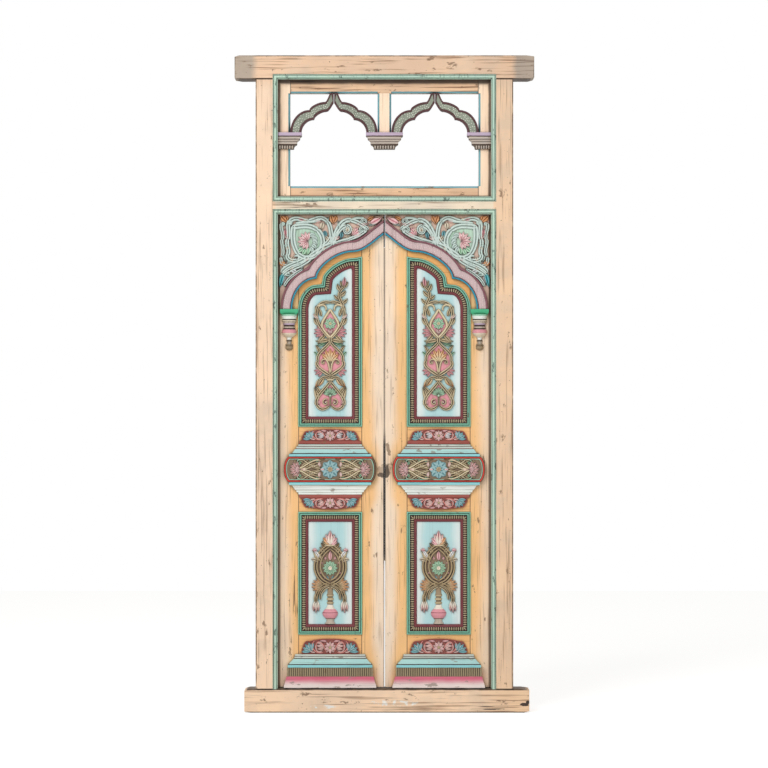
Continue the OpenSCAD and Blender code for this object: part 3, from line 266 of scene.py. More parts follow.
def frameWear(put, place, colour):
    # rubbed arrises, grey patches, bare grey timber on the ends of the lintel, splits, and dirt in the joints
    x, y, z = put("split", place).outputs
    colour = put("mix", put("ramp", x, 0.30, 0.46, 0.0, 0.55), colour, "#DDB994")
    # painted shade: the lintel is painted darker towards the top of the frame, to offset the key lamp above
    # it
    colour = put("mix", put("ramp", z, 2.30, 2.37, 0.0, 0.75), colour, "#D6B396")
    worn = put("ramp", pattern(put, place, 55, 4.0), 0.50, 0.66, 0.0, 0.40)
    colour = put("mix", worn, colour, "#CDB8A2")
    patchy = put("ramp", pattern(put, place, 30), 0.3, 0.55)
    rubbed = put("multiply", edgeMask(put), patchy)
    colour = put("mix", rubbed, colour, "#7C6148")
    side = put("absolute", x)
    out = put("add", side, put("multiply", pattern(put, place, 40), 0.05))
    ends = put("multiply", put("ramp", out, 0.494, 0.520), put("ramp", z, 2.340, frameAt["lintelFoot"]))
    colour = put("mix", ends, colour, "#A99A8B")
    speck = put("ramp", pattern(put, place, 5, 2.0), 0.68, 0.74, 0.0, 0.75)
    colour = put("mix", speck, colour, "#4E3B2E")
    chalk = put("maximum", blot(put, place, (-0.23, 0.022), (0.05, 0.007)),
                blot(put, place, (0.04, 0.035), (0.08, 0.012)))
    chalk = put("multiply", chalk, put("ramp", pattern(put, place, 9, 3.0), 0.48, 0.56))
    colour = put("mix", chalk, colour, "#E4E2DE")
    nearRail = put("absolute", put("subtract", z, frameAt["railMid"]))
    greyed = put("multiply", put("ramp", nearRail, 0.040, 0.030, 0.0, 0.5), put("ramp", side, 0.41, 0.40))
    colour = put("mix", greyed, colour, "#DAD8C9")
    uneven = put("ramp", pattern(put, place, 70, 4.0), 0.40, 0.58, 0.25, 1.0)
    outerEdge = put("multiply", put("ramp", z, frameAt["lintelFoot"], 2.350),
                    put("ramp", side, 0.4735, frameAt["jambSide"]))
    outerEdge = put("multiply", outerEdge, put("ramp", z, 0.086, 0.088, 0.0, 0.75))
    headEdge = put("maximum", put("ramp", z, 2.4355, frameAt["head"], 0.0, 0.65),
                   put("ramp", side, 0.5515, frameAt["hornEnd"], 0.0, 0.8))
    footEdge = put("ramp", z, 0.0050, 0.0012, 0.0, 0.75)
    arrises = put("multiply", put("maximum", outerEdge, put("maximum", headEdge, footEdge)), uneven)
    arrises = put("multiply", arrises, put("ramp", y, -0.0560, frameAt["face"]))
    split = put("maximum", blot(put, place, (0.515, 0.031), (0.016, 0.006), 1.1),
                blot(put, place, (0.533, 0.040), (0.008, 0.007), 1.1))
    lintelJoint = put("absolute", put("subtract", z, frameAt["lintelFoot"]))
    sillJoint = put("absolute", put("subtract", z, frameAt["sillTop"]))
    splits = put("maximum", cracks(put, place, (-0.33, 1.890), (0.09, 0.020), (0.04, 1, 1)),
                 cracks(put, place, (0.30, 0.020), (0.16, 0.014), (0.04, 1, 1)))
    return darkest(put, colour, [put("ramp", lintelJoint, 0.0035, 0.0012, 0.0, 0.85),
                                 put("ramp", sillJoint, 0.0045, 0.0015, 0.0, 0.85),
                                 put("multiply", splits, 0.9), arrises, split])


def beadSideShade(put, place, colour):
    # painted shade: the sides of the bead, turned away from the front, take a darker green; the rounded front
    # keeps the paler mint
    normal = put("ShaderNodeNewGeometry").outputs["True Normal"]
    facing = put("absolute", put("split", normal).outputs[1])
    return put("mix", put("ramp", facing, 0.92, 0.55, 0.0, 0.8), colour, "#6E9080")


def sashTrim(put, place, colour):
    # blue flats on the inner edges, and a painted shadow line against the beads
    x, y, z = put("split", place).outputs
    colour = put("mix", edgeMask(put), colour, "#79AEB8")
    uneven = put("multiply", pattern(put, place, 30), 0.006)
    out = put("add", put("absolute", x), uneven)
    top = put("add", z, uneven)
    # painted shade of the beads: dark lines down the sides, under the top and along the foot of the sash
    return darkest(put, colour, [put("ramp", out, 0.3865, 0.394, 0.0, 0.85),
                                 put("ramp", top, 2.336, 2.346, 0.0, 0.9),
                                 put("ramp", z, 1.925, 1.918, 0.0, 0.85)])


def sashJoint(put, place, colour):
    # the rails also carry dirt where the stiles meet them
    x, y, z = put("split", place).outputs
    joint = put("absolute", put("subtract", put("absolute", x), frameAt["sashStile"]))
    grime = put("ramp", joint, 0.0042, 0.0016, 0.0, 0.8)
    return darkest(put, sashTrim(put, place, colour), [grime], "#4A382C")


def leafFade(put, place, colour):
    # ochre next to the panels, rubbed and faded to cream towards the hinge and the meeting edge
    x, y, z = put("split", place).outputs
    far = put("absolute", x)
    uneven = put("subtract", pattern(put, place, 70, 3.0, (1, 1, 0.3)), 0.5)
    reach = put("add", far, put("multiply", uneven, 0.05))
    outside = put("ramp", reach, 0.332, 0.385)
    # more ochre is left beside the cartouches and round the foot
    belt = put("multiply", put("ramp", z, 0.74, 0.81), put("ramp", z, 1.03, 0.96))
    kept = put("maximum", belt, put("ramp", z, 0.30, 0.16))
    nearer = put("add", reach, put("multiply", kept, 0.017))
    inside = put("ramp", nearer, 0.066, 0.022)
    pale = put("multiply", put("maximum", outside, inside), 0.85)
    colour = put("mix", pale, colour, "#F0DDC8")
    speck = put("ramp", pattern(put, place, 4, 2.0), 0.70, 0.76, 0.0, 0.65)
    colour = put("mix", speck, colour, "#6B5140")
    splits = put("multiply", cracks(put, place, (-0.338, 0.37), (0.016, 0.15), (1, 1, 0.04)), 0.7)
    # painted shade in the joint between the leaves: a near-black line along part of the meeting edge, and
    # darker paint along both meeting edges
    lowHalf = put("multiply", put("ramp", z, 0.50, 0.60), put("ramp", z, 1.06, 0.98))
    meeting = put("multiply", lowHalf, put("ramp", far, 0.0056, 0.0034, 0.0, 1.0))
    edges = put("ramp", far, 0.0048, 0.0022, 0.0, 0.5)
    worn = blot(put, place, (0.016, 0.972), (0.009, 0.024), 1.6)
    colour = put("mix", put("multiply", worn, 0.75), colour, "#7A6049")
    stain = put("multiply", blot(put, place, (0.002, 0.894), (0.024, 0.028), 1.2), 0.5)
    colour = put("mix", stain, colour, "#7D6753")
    broken = put("maximum", blot(put, place, (0.010, 0.886), (0.010, 0.026), 1.6),
                 blot(put, place, (-0.012, 0.880), (0.016, 0.010), 1.6))
    # the last mask darkens the hinge edge next to the door bead: painted shadow of the bead
    colour = darkest(put, colour, [edges, splits, put("multiply", broken, 0.8),
                                   put("ramp", far, 0.3845, 0.391, 0.0, 0.75)])
    # the near-black painted shade of the meeting joint goes on last
    return put("mix", meeting, colour, "#1C1510")


def railJoint(put, place, colour):
    # dirt in the joints between the rails and the stiles
    x, y, z = put("split", place).outputs
    far = put("absolute", x)
    return darkest(put, colour, [put("ramp", far, 0.3165, 0.3195, 0.0, 0.85),
                                 put("ramp", far, 0.0875, 0.0845, 0.0, 0.85)], "#5A4433")


def wornEnd(put, place, colour):
    # paint rubbed off the left leaf where hands pull it shut
    return put("mix", blot(put, place, (-0.036, 0.897), (0.022, 0.045)), colour, "#6A543F")


def panelCloud(put, place, colour):
    # brushed thin: bluer round the carving, nearly white along the moulding
    x, y, z = put("split", place).outputs
    off = put("absolute", put("subtract", put("absolute", x), 0.202))
    off = put("add", off, put("multiply", pattern(put, place, 45), 0.03))
    return put("mix", put("ramp", off, 0.055, 0.092), colour, "#DDE9E7")


def plinthFade(put, place, colour):
    # pink at the top, washed and scuffed to off-white at the foot
    x, y, z = put("split", place).outputs
    uneven = put("subtract", pattern(put, place, 35), 0.5)
    level = put("add", z, put("multiply", uneven, 0.012))
    return put("mix", put("ramp", level, 0.127, 0.096), colour, "#E9DBD6")


paints = {
    # joinery: thin oil paint over teak, the grain showing through
    "frame": agedPaint("peachOilPaintOnTeak", "#EED0B4", frameWear, chips=0.45, chipSize=14, mottle=0.16,
                       dirt=0.8, dirtReach=9),
    "frameLevel": agedPaint("peachOilPaintAcross", "#EBCDB0", frameWear, chips=0.55, chipSize=14, mottle=0.24,
                            grain="x", dirt=0.8, dirtReach=9),
    "bead": agedPaint("mintOilPaint", "#B8D4C2", beadSideShade, chips=0.6, bare="#4C6054", mottle=0.16, dirt=0.95,
                      dirtReach=11),
    "sash": agedPaint("ochreOilPaint", "#FBE0C4", sashTrim, chips=0.3, mottle=0.10, dirt=0.75, dirtReach=15),
    "sashLevel": agedPaint("ochreOilPaintAcross", "#DFBA99", sashJoint, chips=0.5, mottle=0.30, grain="x",
                           dirt=0.8, dirtReach=22),
    "leaf": agedPaint("ochreLimewashOnTeak", "#F0BF85", leafFade, chips=0.34, chipSize=10, mottle=0.13,
                      dirtReach=14, dirt=0.75),
    "leafLevel": agedPaint("ochreLimewashAcross", "#EFB97B", railJoint, chips=0.28, mottle=0.10, grain="x",
                           dirtReach=14, dirt=0.8),
    "reveal": agedPaint("orangeLimewash", "#EFAE68", railJoint, chips=0.28, mottle=0.08, grain="x", dirt=0.75,
                        dirtReach=12),
    "panel": agedPaint("iceBlueDistemper", "#B4D9DB", panelCloud, chips=0.14, mottle=0.04, bare="#93A6A4",
                       dirtReach=12, dirt=0.7),
    # painted shade: the dark fill for the joint between the leaves, where the gap lies in shade
    "dust": agedPaint("jointGapShadeFill", "#3A2C24", chips=0.2, dirt=0.4),
    "darkGround": agedPaint("dirtyTeakGround", "#85715B", chips=0.2, dirt=0.85, dirtReach=8),
    "lineGreen": agedPaint("seaGreenLine", "#A6D0BA", chips=0.35, dirt=0.6),
    "sky": agedPaint("skyBluePaint", "#8ECFD4", chips=0.45, dirt=0.7, grain="x", bare="#7F8F8A"),
    "aqua": agedPaint("aquaPaint", "#A8D2D0", chips=0.55, mottle=0.14, dirt=0.7, grain="x", bare="#8C8578"),
    "pale": agedPaint("greyAquaPaint", "#C3CDC5", chips=0.55, mottle=0.16, dirt=0.75, grain="x",
                      bare="#83776A"),
    "chalk": agedPaint("paleAquaPaint", "#E8EDE8", chips=0.5, mottle=0.14, dirt=0.6, grain="x",
                       bare="#9A9084"),
    "heartPink": agedPaint("roseGround", "#DB96A0", dirt=0.9, dirtReach=9, chips=0.2),
    "heartGreen": agedPaint("paleGreenGround", "#B5D2BE", dirt=0.8, dirtReach=9, chips=0.2),
    "flesh": agedPaint("paleFleshGround", "#CDB0A0", dirt=0.9, dirtReach=8, chips=0.4, bare="#7A6656"),
    "red": agedPaint("vermilionPaint", "#D4463A", wornEnd, chips=0.45, dirt=0.6, grain="x"),
    "redBrown": agedPaint("redOxidePaint", "#9A4F46", chips=0.35, dirt=0.7, grain="x"),
    "oxide": agedPaint("darkRedOxideGround", "#8B5048", chips=0.3, dirt=0.8, grain="x"),
    "maroon": agedPaint("maroonPaint", "#74353A", chips=0.25, dirt=0.5),
    "mauve": agedPaint("mauveDistemper", "#CAB1B2", chips=0.3, dirt=0.6, mottle=0.10, bare="#6E5460"),
    "mauveDot": agedPaint("mauveDistemperDots", "#DDCBC8", chips=0.15, dirt=0.7, dirtReach=3),
    "edgeMaroon": agedPaint("purpleMaroonPaint", "#84555D", chips=0.25, dirt=0.4),
    "edgeBlue": agedPaint("turquoisePaint", "#2C93AE", chips=0.2, dirt=0.4),
    "mouldGreen": agedPaint("seaGreenPaint", "#80BEA7", chips=0.35, dirt=0.6),
    "mouldDark": agedPaint("darkSeaGreenPaint", "#3F7562", chips=0.3, dirt=0.6),
    "umber": agedPaint("umberGround", "#38231D", chips=0.2, dirt=0.4),
    "beadCream": agedPaint("creamBeadPaint", "#C6B594", chips=0.3, chipSize=8, dirt=0.5, dirtReach=3),
    "capital": agedPaint("lavenderPaint", "#B9A6BB", chips=0.35, dirt=0.75, grain="x"),
    "capitalPale": agedPaint("greyLimewash", "#BDB1A6", chips=0.45, dirt=0.8, grain="x"),
    "capitalDark": agedPaint("greyUmberPaint", "#5F5346", chips=0.35, dirt=0.75, grain="x"),
    "stipple": agedPaint("greyGreenDistemper", "#8B9283", chips=0.25, dirt=0.5, bare="#4A4A40"),
    "stippleDot": agedPaint("greyGreenDots", "#DDE2D4", chips=0.15, dirt=0.6, dirtReach=3),
    "lightEdge": agedPaint("brownMaroonPaint", "#4C2A2C", chips=0.25, dirt=0.4, bare="#3A2A22"),
    "reed": agedPaint("bareTeakReeds", "#998B6F", chips=0.35, dirt=0.85, dirtReach=6),
    "plinth": agedPaint("rosePlinthPaint", "#CE627A", plinthFade, chips=0.6, dirt=0.7, grain="x",
                        bare="#94857A"),
    "capGreen": agedPaint("emeraldPaint", "#48AF80", chips=0.25, dirt=0.5, grain="x", mottle=0.03),
    "pendant": agedPaint("greyWashedTeak", "#B9AD9E", chips=0.4, dirt=0.8, dirtReach=9),
}
# carving: thick brushed colours; name, paint, painted highlight on the ridges, painted shade in the gouges
carved = {"dirt": 0.85, "chips": 0.22, "chipSize": 5.0, "mottle": 0.05, "grainDepth": 0.08}
carvedPaints = {
    "tan": ("rubbedTeakCarving", "#C1AE8A", "#E9DBBB", "#3B2B1E"),
    "brown": ("darkTeakCarving", "#9A866A", "#C2AD86", "#3B2B1E"),
    "pink": ("rosePaint", "#DE97A0", "#F7DAD6", "#A04C58"),
    "petalPink": ("whiteEdgedRosePaint", "#E7AFB3", "#FAEBE6", "#D98C97", {"dirt": 0.45}),
    "palePink": ("palePinkPaint", "#E8BFBA", "#F6E2DD", "#A8696C"),
    "dustyWhite": ("greyWhitePaint", "#C6BEC0", "#E0DCDD", "#6C6478"),
    "dustyPink": ("dustyPinkPaint", "#CFA39D", "#E8CCC6", "#8A5452"),
    "orange": ("orangeTippedPaint", "#D5BC95", "#EBD6B0", "#3B2B1E", {"tip": "#DC8C4E"}),
    "apricot": ("apricotPaint", "#DF9C68", "#F2C49C", "#8A4F2C"),
    "green": ("leafGreenPaint", "#93C8A2", "#CFE6D0", "#4E7A62"),
    "rust": ("rustRedPaint", "#B9605A", "#E2A59C", "#5E2A26"),
    "tulip": ("creamPaintRedTipped", "#EBE0D0", "#FBF2E6", "#3B2B1E", {"tip": "#D3727E"}),
    "blue": ("tealBluePaint", "#5BA0AC", "#A3C9CC", "#2D5058"),
    "slate": ("greyBluePaint", "#6C999F", "#A6C3C4", "#35545A"),
    "sea": ("turquoiseLeafPaint", "#48B3BF", "#9BD6D6", "#2D5058"),
    "cream": ("creamPaint", "#E4D6BF", "#F3E9D8", "#3B2B1E"),
    "white": ("chalkWhitePaint", "#DEE0E2", "#F6F6F6", "#6C6478"),
    "scroll": ("paleSeaGreenPaint", "#B3C9C1", "#D3E2DC", "#4A5952"),
}
for key, (name, paint, ridge, gougeShade, *more) in carvedPaints.items():
    look = dict(carved, light=ridge, shade=gougeShade, **(more[0] if more else {}))
    paints[key] = agedPaint(name, paint, **look)
print("finishes made:", len(paints))

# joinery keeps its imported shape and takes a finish
joineryFinish = {
    "frameLevel": ["lintel", "sill", "transom_rail"],
    "frame": ["left_jamb", "right_jamb"],
    "bead": ["light_bead_top", "light_bead_bottom", "light_bead_left", "light_bead_right", "door_bead_top",
             "door_bead_left", "door_bead_right"],
    "sash": ["sash_left_stile", "sash_right_stile", "sash_mullion"],
    "sashLevel": ["sash_top_rail", "sash_bottom_rail"],
    "leaf": ["left_hinge_stile", "left_meeting_stile", "right_hinge_stile", "right_meeting_stile"],
    "leafLevel": ["left_lock_rail", "left_bottom_rail", "right_lock_rail", "right_bottom_rail"],
    "reveal": ["left_top_rail", "right_top_rail"],
    "panel": ["left_upper_panel", "left_lower_panel", "right_upper_panel", "right_lower_panel"],
}
for finish, members in joineryFinish.items():
    for member in members:
        nodes[member].data.materials.clear()
        nodes[member].data.materials.append(paints[finish])
print("joinery painted")


# mesh tools: all sizes in mm until the mesh is made
def newWork():
    return {"points": [], "faces": [], "paints": [], "stroke": []}


def weave(work, rows, paintAt, closed=False, stroke=None):
    # rows of closed rings, joined row to row; open rows get end caps
    start = len(work["points"])
    count = len(rows[0])
    for i, row in enumerate(rows):
        for j, point in enumerate(row):
            work["points"].append(point)
            work["stroke"].append(stroke(i, j) if stroke else (0.0, 0.0, 0.6))
    last = len(rows) if closed else len(rows) - 1
    for i in range(last):
        a = start + i * count
        b = start + ((i + 1) % len(rows)) * count
        for j in range(count):
            k = (j + 1) % count
            work["faces"].append((a + j, a + k, b + k, b + j))
            work["paints"].append(paintAt(i, j))
    if not closed:
        work["faces"].append(tuple(range(start, start + count)))
        work["paints"].append(paintAt(0, 0))
        end = start + (len(rows) - 1) * count
        work["faces"].append(tuple(range(end, end + count)))
        work["paints"].append(paintAt(len(rows) - 2, 0))


def bend(a, b, c, d, count=14):
    # points along a cubic curve
    line = []
    for i in range(count + 1):
        t = i / count
        s = 1 - t
        line.append(tuple(s ** 3 * a[k] + 3 * s * s * t * b[k] + 3 * s * t * t * c[k] + t ** 3 * d[k]
                          for k in (0, 1)))
    return line


def spiral(centre, r0, r1, a0, turn):
    line, count = [], 26
    for i in range(count + 1):
        t = i / count
        a = radians(a0 + turn * t)
        r = r0 + (r1 - r0) * t
        line.append((centre[0] + r * cos(a), centre[1] + r * sin(a)))
    return line


sunk = 1.0  # mm that a carved stroke reaches into its ground
# across a stroke, from an edge to the middle: place, height, and how far it stands out of the gouges
halfSections = {
    "double": [(1, 0.2, 0.2), (0.86, 0.76, 0.85), (0.55, 1.0, 1.0), (0.25, 0.84, 0.8), (0.11, 0.36, 0.0)],
    "ribbon": [(1, 0.3, 0.3), (0.9, 0.8, 0.9), (0.7, 1.0, 1.0), (0.26, 0.94, 0.95), (0.09, 0.62, 0.25)],
    "leaf": [(1, 0.25, 0.3), (0.8, 0.62, 0.7), (0.5, 1.0, 1.0), (0.2, 0.78, 0.5), (0, 0.48, 0.0)],
    "petal": [(1, 0.35, 0.4), (0.75, 0.85, 0.9), (0.45, 1.0, 1.0), (0.15, 0.9, 0.7), (0, 0.72, 0.15)],
    "cup": [(1, 0.6, 0.7), (0.8, 1.0, 1.0), (0.45, 0.66, 0.4), (0, 0.45, 0.1)],
    "round": [(1, 0.25, 0.4), (0.8, 0.65, 0.6), (0.45, 0.92, 0.85), (0, 1.0, 1.0)],
}
sections = {kind: [(-u, h, r) for u, h, r in half] + [row for row in half[::-1] if row[0]]
            for kind, half in halfSections.items()}


def sweep(work, line, widths, rises, section, paint, base):
    # a carved stroke along a line in X and Z, standing forward from the plane Y = base
    rows = []
    last = len(line) - 1
    for i, (x, z) in enumerate(line):
        x0, z0 = line[max(i - 1, 0)]
        x1, z1 = line[min(i + 1, last)]
        length = hypot(x1 - x0, z1 - z0) or 1.0
        nx, nz = -(z1 - z0) / length, (x1 - x0) / length
        w, r = widths[i] / 2, rises[i]
        row = [(x + nx * u * w, base - r * h, z + nz * u * w) for u, h, ridge in sections[section]]
        row += [(x + nx * w, base + sunk, z + nz * w), (x - nx * w, base + sunk, z - nz * w)]
        rows.append(row)
    tops = sections[section]

    def stroke(i, j):
        return (i / last, abs(tops[j][0]), tops[j][2]) if j < len(tops) else (i / last, 1.0, 0.2)

    weave(work, rows, lambda i, j: paint, stroke=stroke)


def stem(work, line, w0, w1, paint="tan", rise=9.0, base=-3.0, section="double", blunt=0.07):
    last = len(line) - 1
    widths, rises = [], []
    for i in range(last + 1):
        t = i / last
        near = min(t, 1 - t) / blunt
        full = 1.0 if near >= 1 else 0.45 + 0.55 * sqrt(1 - (1 - near) ** 2)
        widths.append((w0 + (w1 - w0) * t) * full)
        rises.append(rise * (0.6 + 0.4 * full))
    sweep(work, line, widths, rises, section, paint, base)


def blade(work, root, angle, length, width, paint, rise=9.0, base=-3.0, curve=0.0, section="leaf", count=9,
          widest=0.42):
    # a leaf or petal from its root, turning by curve degrees along its length
    line = [tuple(root)]
    for i in range(count):
        a = radians(angle + curve * (i + 0.5) / count)
        line.append((line[-1][0] + length / count * cos(a), line[-1][1] + length / count * sin(a)))
    widths, rises = [], []
    bulge = log(0.5) / log(widest)
    for i in range(count + 1):
        t = i / count
        widths.append(width * max(0.09, sin(pi * (0.05 + 0.95 * t) ** bulge) ** 0.9))
        rises.append(rise * (0.62 + 0.38 * sin(pi * min(1.0, 0.15 + 0.8 * t))))
    sweep(work, line, widths, rises, section, paint, base)


def fan(work, root, count, a0, a1, length, width, paint, **more):
    for i in range(count):
        share = i / (count - 1)
        reach = length * (0.86 + 0.14 * sin(pi * share))
        blade(work, root, a0 + (a1 - a0) * share, reach, width, paint, **dict({"widest": 0.64}, **more))


def boss(work, centre, radius, rise, paint, base=-3.0, dimple=0.0):
    # a turned button
    sides = 16
    profile = [(1.0, 0.0), (0.97, 0.45), (0.82, 0.78), (0.55, 0.96), (0.28, 1.0 - 0.5 * dimple),
               (0.06, 1.0 - dimple)]
    ring = [(radius * cos(2 * pi * j / sides), radius * sin(2 * pi * j / sides)) for j in range(sides)]
    rows = [[(centre[0] + u, base + sunk, centre[1] + v) for u, v in ring]]
    for share, level in profile:
        rows.append([(centre[0] + share * u, base - rise * level, centre[1] + share * v) for u, v in ring])
    weave(work, rows, lambda i, j: paint, stroke=lambda i, j: (0.0, 0.0, 0.9 - 0.5 * dimple * (i > 4)))


def rosette(work, centre, count, length, width, petals, heart, rise, base):
    # a ring of petals, a shorter ring between them, and a button
    for i in range(count):
        blade(work, centre, 360 * i / count + 90, length, width, petals, rise=rise * 0.8, base=base,
              section="petal", widest=0.68)
    for i in range(count):
        blade(work, centre, 360 * (i + 0.5) / count + 90, length * 0.66, width * 0.8, petals,
              rise=rise * 0.92, base=base, section="petal", count=6, widest=0.6)
    boss(work, centre, length * 0.34, rise * 1.08, heart, base, dimple=0.25)


def plate(work, outline, back, front, paint):
    # a flat piece
    weave(work, [[(x, y, z) for x, z in outline] for y in (back, front)], lambda i, j: paint)


def shifted(line, distance, closed):
    # the line moved to its left by distance, with mitred corners; what would cross itself is gathered in
    pts = np.array(line, float)
    count = len(pts)
    if closed:
        before, after = np.roll(pts, 1, 0), np.roll(pts, -1, 0)
    else:
        before = np.vstack([2 * pts[0] - pts[1], pts[:-1]])
        after = np.vstack([pts[1:], 2 * pts[-1] - pts[-2]])
    first, second = pts - before, after - pts
    first /= np.maximum(np.linalg.norm(first, axis=1, keepdims=True), 1e-9)
    second /= np.maximum(np.linalg.norm(second, axis=1, keepdims=True), 1e-9)
    n1 = np.stack([-first[:, 1], first[:, 0]], 1)
    n2 = np.stack([-second[:, 1], second[:, 0]], 1)
    mitre = (n1 + n2) / np.maximum(1 + (n1 * n2).sum(1, keepdims=True), 0.3)
    moved = pts + mitre * distance
    a = pts if closed else pts[:-1]
    ab = (np.roll(pts, -1, 0) if closed else pts[1:]) - a
    share = ((moved[:, None] - a[None]) * ab[None]).sum(2) / np.maximum((ab * ab).sum(1), 1e-9)[None]
    near = a[None] + np.clip(share, 0, 1)[:, :, None] * ab[None]
    gap = np.linalg.norm(moved[:, None] - near, axis=2).min(1)
    good = [i for i in range(count) if gap[i] > abs(distance) - 0.3]
    for i in range(count):
        if i in good:
            continue
        low = max((g for g in good if g < i), default=good[-1] - count)
        high = min((g for g in good if g > i), default=good[0] + count)
        t = (i - low) / (high - low)
        if not closed and (low < 0 or high >= count):
            moved[i] = moved[good[0] if low < 0 else good[-1]]
        else:
            moved[i] = (1 - t) * moved[low % count] + t * moved[high % count]
    return [tuple(p) for p in moved]


def ribbon(work, line, profile, base, closed):
    # a moulding along a line: profile rows are (distance to the left, rise, paint of the face that follows)
    rings = [shifted(line, d, closed) if abs(d) > 1e-6 else list(line) for d, rise, paint in profile]
    rows = [[(rings[k][i][0], base - profile[k][1], rings[k][i][1]) for k in range(len(profile))]
            for i in range(len(line))]
    weave(work, rows, lambda i, j: profile[j][2], closed)


def painted(*groups):
    # rows with their paint put last; each group is a paint and its rows
    return [row + (paint,) for paint, *rows in groups for row in rows]


def cutAt(work, x):
    # keeps what lies on the hinge side of the plane X = x and closes the cut
    work["cut"] = x


handWork = {"seed": 7, "lump": 23.0}  # mm
noise.seed_set(handWork["seed"])


def wobble(point, reach):
    # the slight unevenness of hand work, the same in every run
    move = noise.noise_vector(Vector(point) / handWork["lump"])
    return Vector(point) + move * reach


def makePiece(work, name, body, slot, replaced, handmade=0.35, flip=False, sharp=42):
    mesh = bpy.data.meshes.new(name)
    mesh.from_pydata([tuple(wobble(p, handmade) * mm) for p in work["points"]], [], work["faces"])
    names = sorted(set(work["paints"]))
    for paintName in names:
        mesh.materials.append(paints[paintName])
    mesh.polygons.foreach_set("material_index", [names.index(p) for p in work["paints"]])
    layer = mesh.attributes.new("stroke", "FLOAT_VECTOR", "POINT")
    layer.data.foreach_set("vector", [c for s in work["stroke"] for c in s])
    shape = bmesh.new()
    shape.from_mesh(mesh)
    if "cut" in work:
        everything = shape.verts[:] + shape.edges[:] + shape.faces[:]
        done = bmesh.ops.bisect_plane(shape, geom=everything, plane_co=(work["cut"] * mm, 0, 0),
                                      plane_no=(1, 0, 0), clear_outer=True)
        rim = [e for e in done["geom_cut"] if isinstance(e, bmesh.types.BMEdge)]
        bmesh.ops.holes_fill(shape, edges=rim)
    bmesh.ops.recalc_face_normals(shape, faces=shape.faces)
    shape.to_mesh(mesh)
    shape.free()
    return placePiece(mesh, name, body, slot, replaced, flip, sharp)


def placePiece(mesh, name, body, slot, replaced, flip=False, sharp=42):
    if flip:
        mesh.transform(Matrix.Scale(-1, 4, (1, 0, 0)))
        mesh.flip_normals()
    mesh.shade_smooth()
    mesh.set_sharp_from_angle(angle=radians(sharp))
    piece = bpy.data.objects.new(name, mesh)
    scene.collection.objects.link(piece)
    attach(piece, body)
    if replaced:
        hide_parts(*replaced)
    return piece


def bothLeaves(make, name, slot, node, **more):
    # the right leaf's piece is the mirror image of the left one's
    for side in ("left", "right"):
        work = newWork()
        make(work)
        makePiece(work, side + name, side + "_leaf", slot, [side + "_" + node] if node else [],
                  flip=side == "right", **more)


# the lines of the arch, the same as in the solids (mm)
leaf = {"front": -14.0, "panel": -3.0, "trimOut": -388.5, "trimIn": -3.4, "trimHead": 1848.0,
        "fieldOut": -321.0, "fieldIn": -83.0, "mid": -202.0, "upperFoot": 1061.0, "lowerFoot": 287.0,
        "lowerHead": 744.0, "lockMid": 902.5}
arch = {"spring": (-343.0, 1499.0), "cusp": (-252.1, 1612.0), "crown": (-119.0, 1711.0),
        "apex": (0.0, 1779.0), "reveal": 22.0, "band": 42.5}


def lobe(a, b, k, count=14):
    return bend(a, (a[0], a[1] + k * (b[1] - a[1])), (b[0] - k * (b[0] - a[0]), b[1]), b, count)


def cuspedLine(spring, cusp, crown, apex):
    rise, run = apex[1] - crown[1], apex[0] - crown[0]
    ogee = bend(crown, (crown[0] + 0.37 * run, crown[1]), (apex[0] - 0.38 * run, apex[1] - 0.5 * rise), apex,
                12)
    return lobe(spring, cusp, 0.55) + lobe(cusp, crown, 0.42)[1:] + ogee[1:]


archLine = cuspedLine(arch["spring"], arch["cusp"], arch["crown"], arch["apex"])
# the line runs on past the apex, so that the band can be cut square at the meeting edge
archLong = archLine + [(archLine[-1][0] + 32.0, archLine[-1][1] + 24.0)]
revealLine = shifted(archLong, -arch["reveal"], False)


def upperOutline():
    top = [p for p in revealLine if leaf["fieldOut"] + 0.01 < p[0] < leaf["fieldIn"]]
    nextPoint = revealLine[revealLine.index(top[-1]) + 1]
    t = (leaf["fieldIn"] - top[-1][0]) / (nextPoint[0] - top[-1][0])
    corner = (leaf["fieldIn"], top[-1][1] + t * (nextPoint[1] - top[-1][1]))
    first = (leaf["fieldOut"], arch["spring"][1])
    loop = [(leaf["fieldOut"], leaf["upperFoot"]), (leaf["fieldIn"], leaf["upperFoot"]), corner]
    return loop + top[::-1] + [first]


def lowerOutline():
    return [(leaf["fieldOut"], leaf["lowerFoot"]), (leaf["fieldIn"], leaf["lowerFoot"]),
            (leaf["fieldIn"], leaf["lowerHead"]), (leaf["fieldOut"], leaf["lowerHead"])]


# panel mouldings: sea-green outer member, bead row on umber, maroon fillet; distance in, rise, paint
mouldProfile = painted(
    ("mouldGreen", (0.25, -0.8), (0.25, 16.6), (1.0, 17.8), (3.6, 18.0)),
    ("mouldDark", (4.4, 17.0), (5.0, 14.0), (6.4, 14.0)),
    ("mouldGreen", (7.0, 16.0), (8.6, 17.2), (10.4, 16.8)), ("mouldDark", (11.6, 15.0)),
    ("umber", (12.4, 12.4), (12.8, 8.0), (27.6, 6.6)),
    ("maroon", (28.0, 8.2), (29.0, 9.0), (32.0, 8.6), (34.6, 6.6), (36.4, 3.8), (37.6, 2.8), (37.9, -0.8)))
panelOutlines = {"Upper": upperOutline(), "Lower": lowerOutline()}
for label, outline in panelOutlines.items():
    bothLeaves(lambda work: ribbon(work, outline, mouldProfile, leaf["panel"], True), label + "Moulding",
               "moulding_paint", label.lower() + "_moulding", handmade=0.3, sharp=35)
print("panel mouldings made")


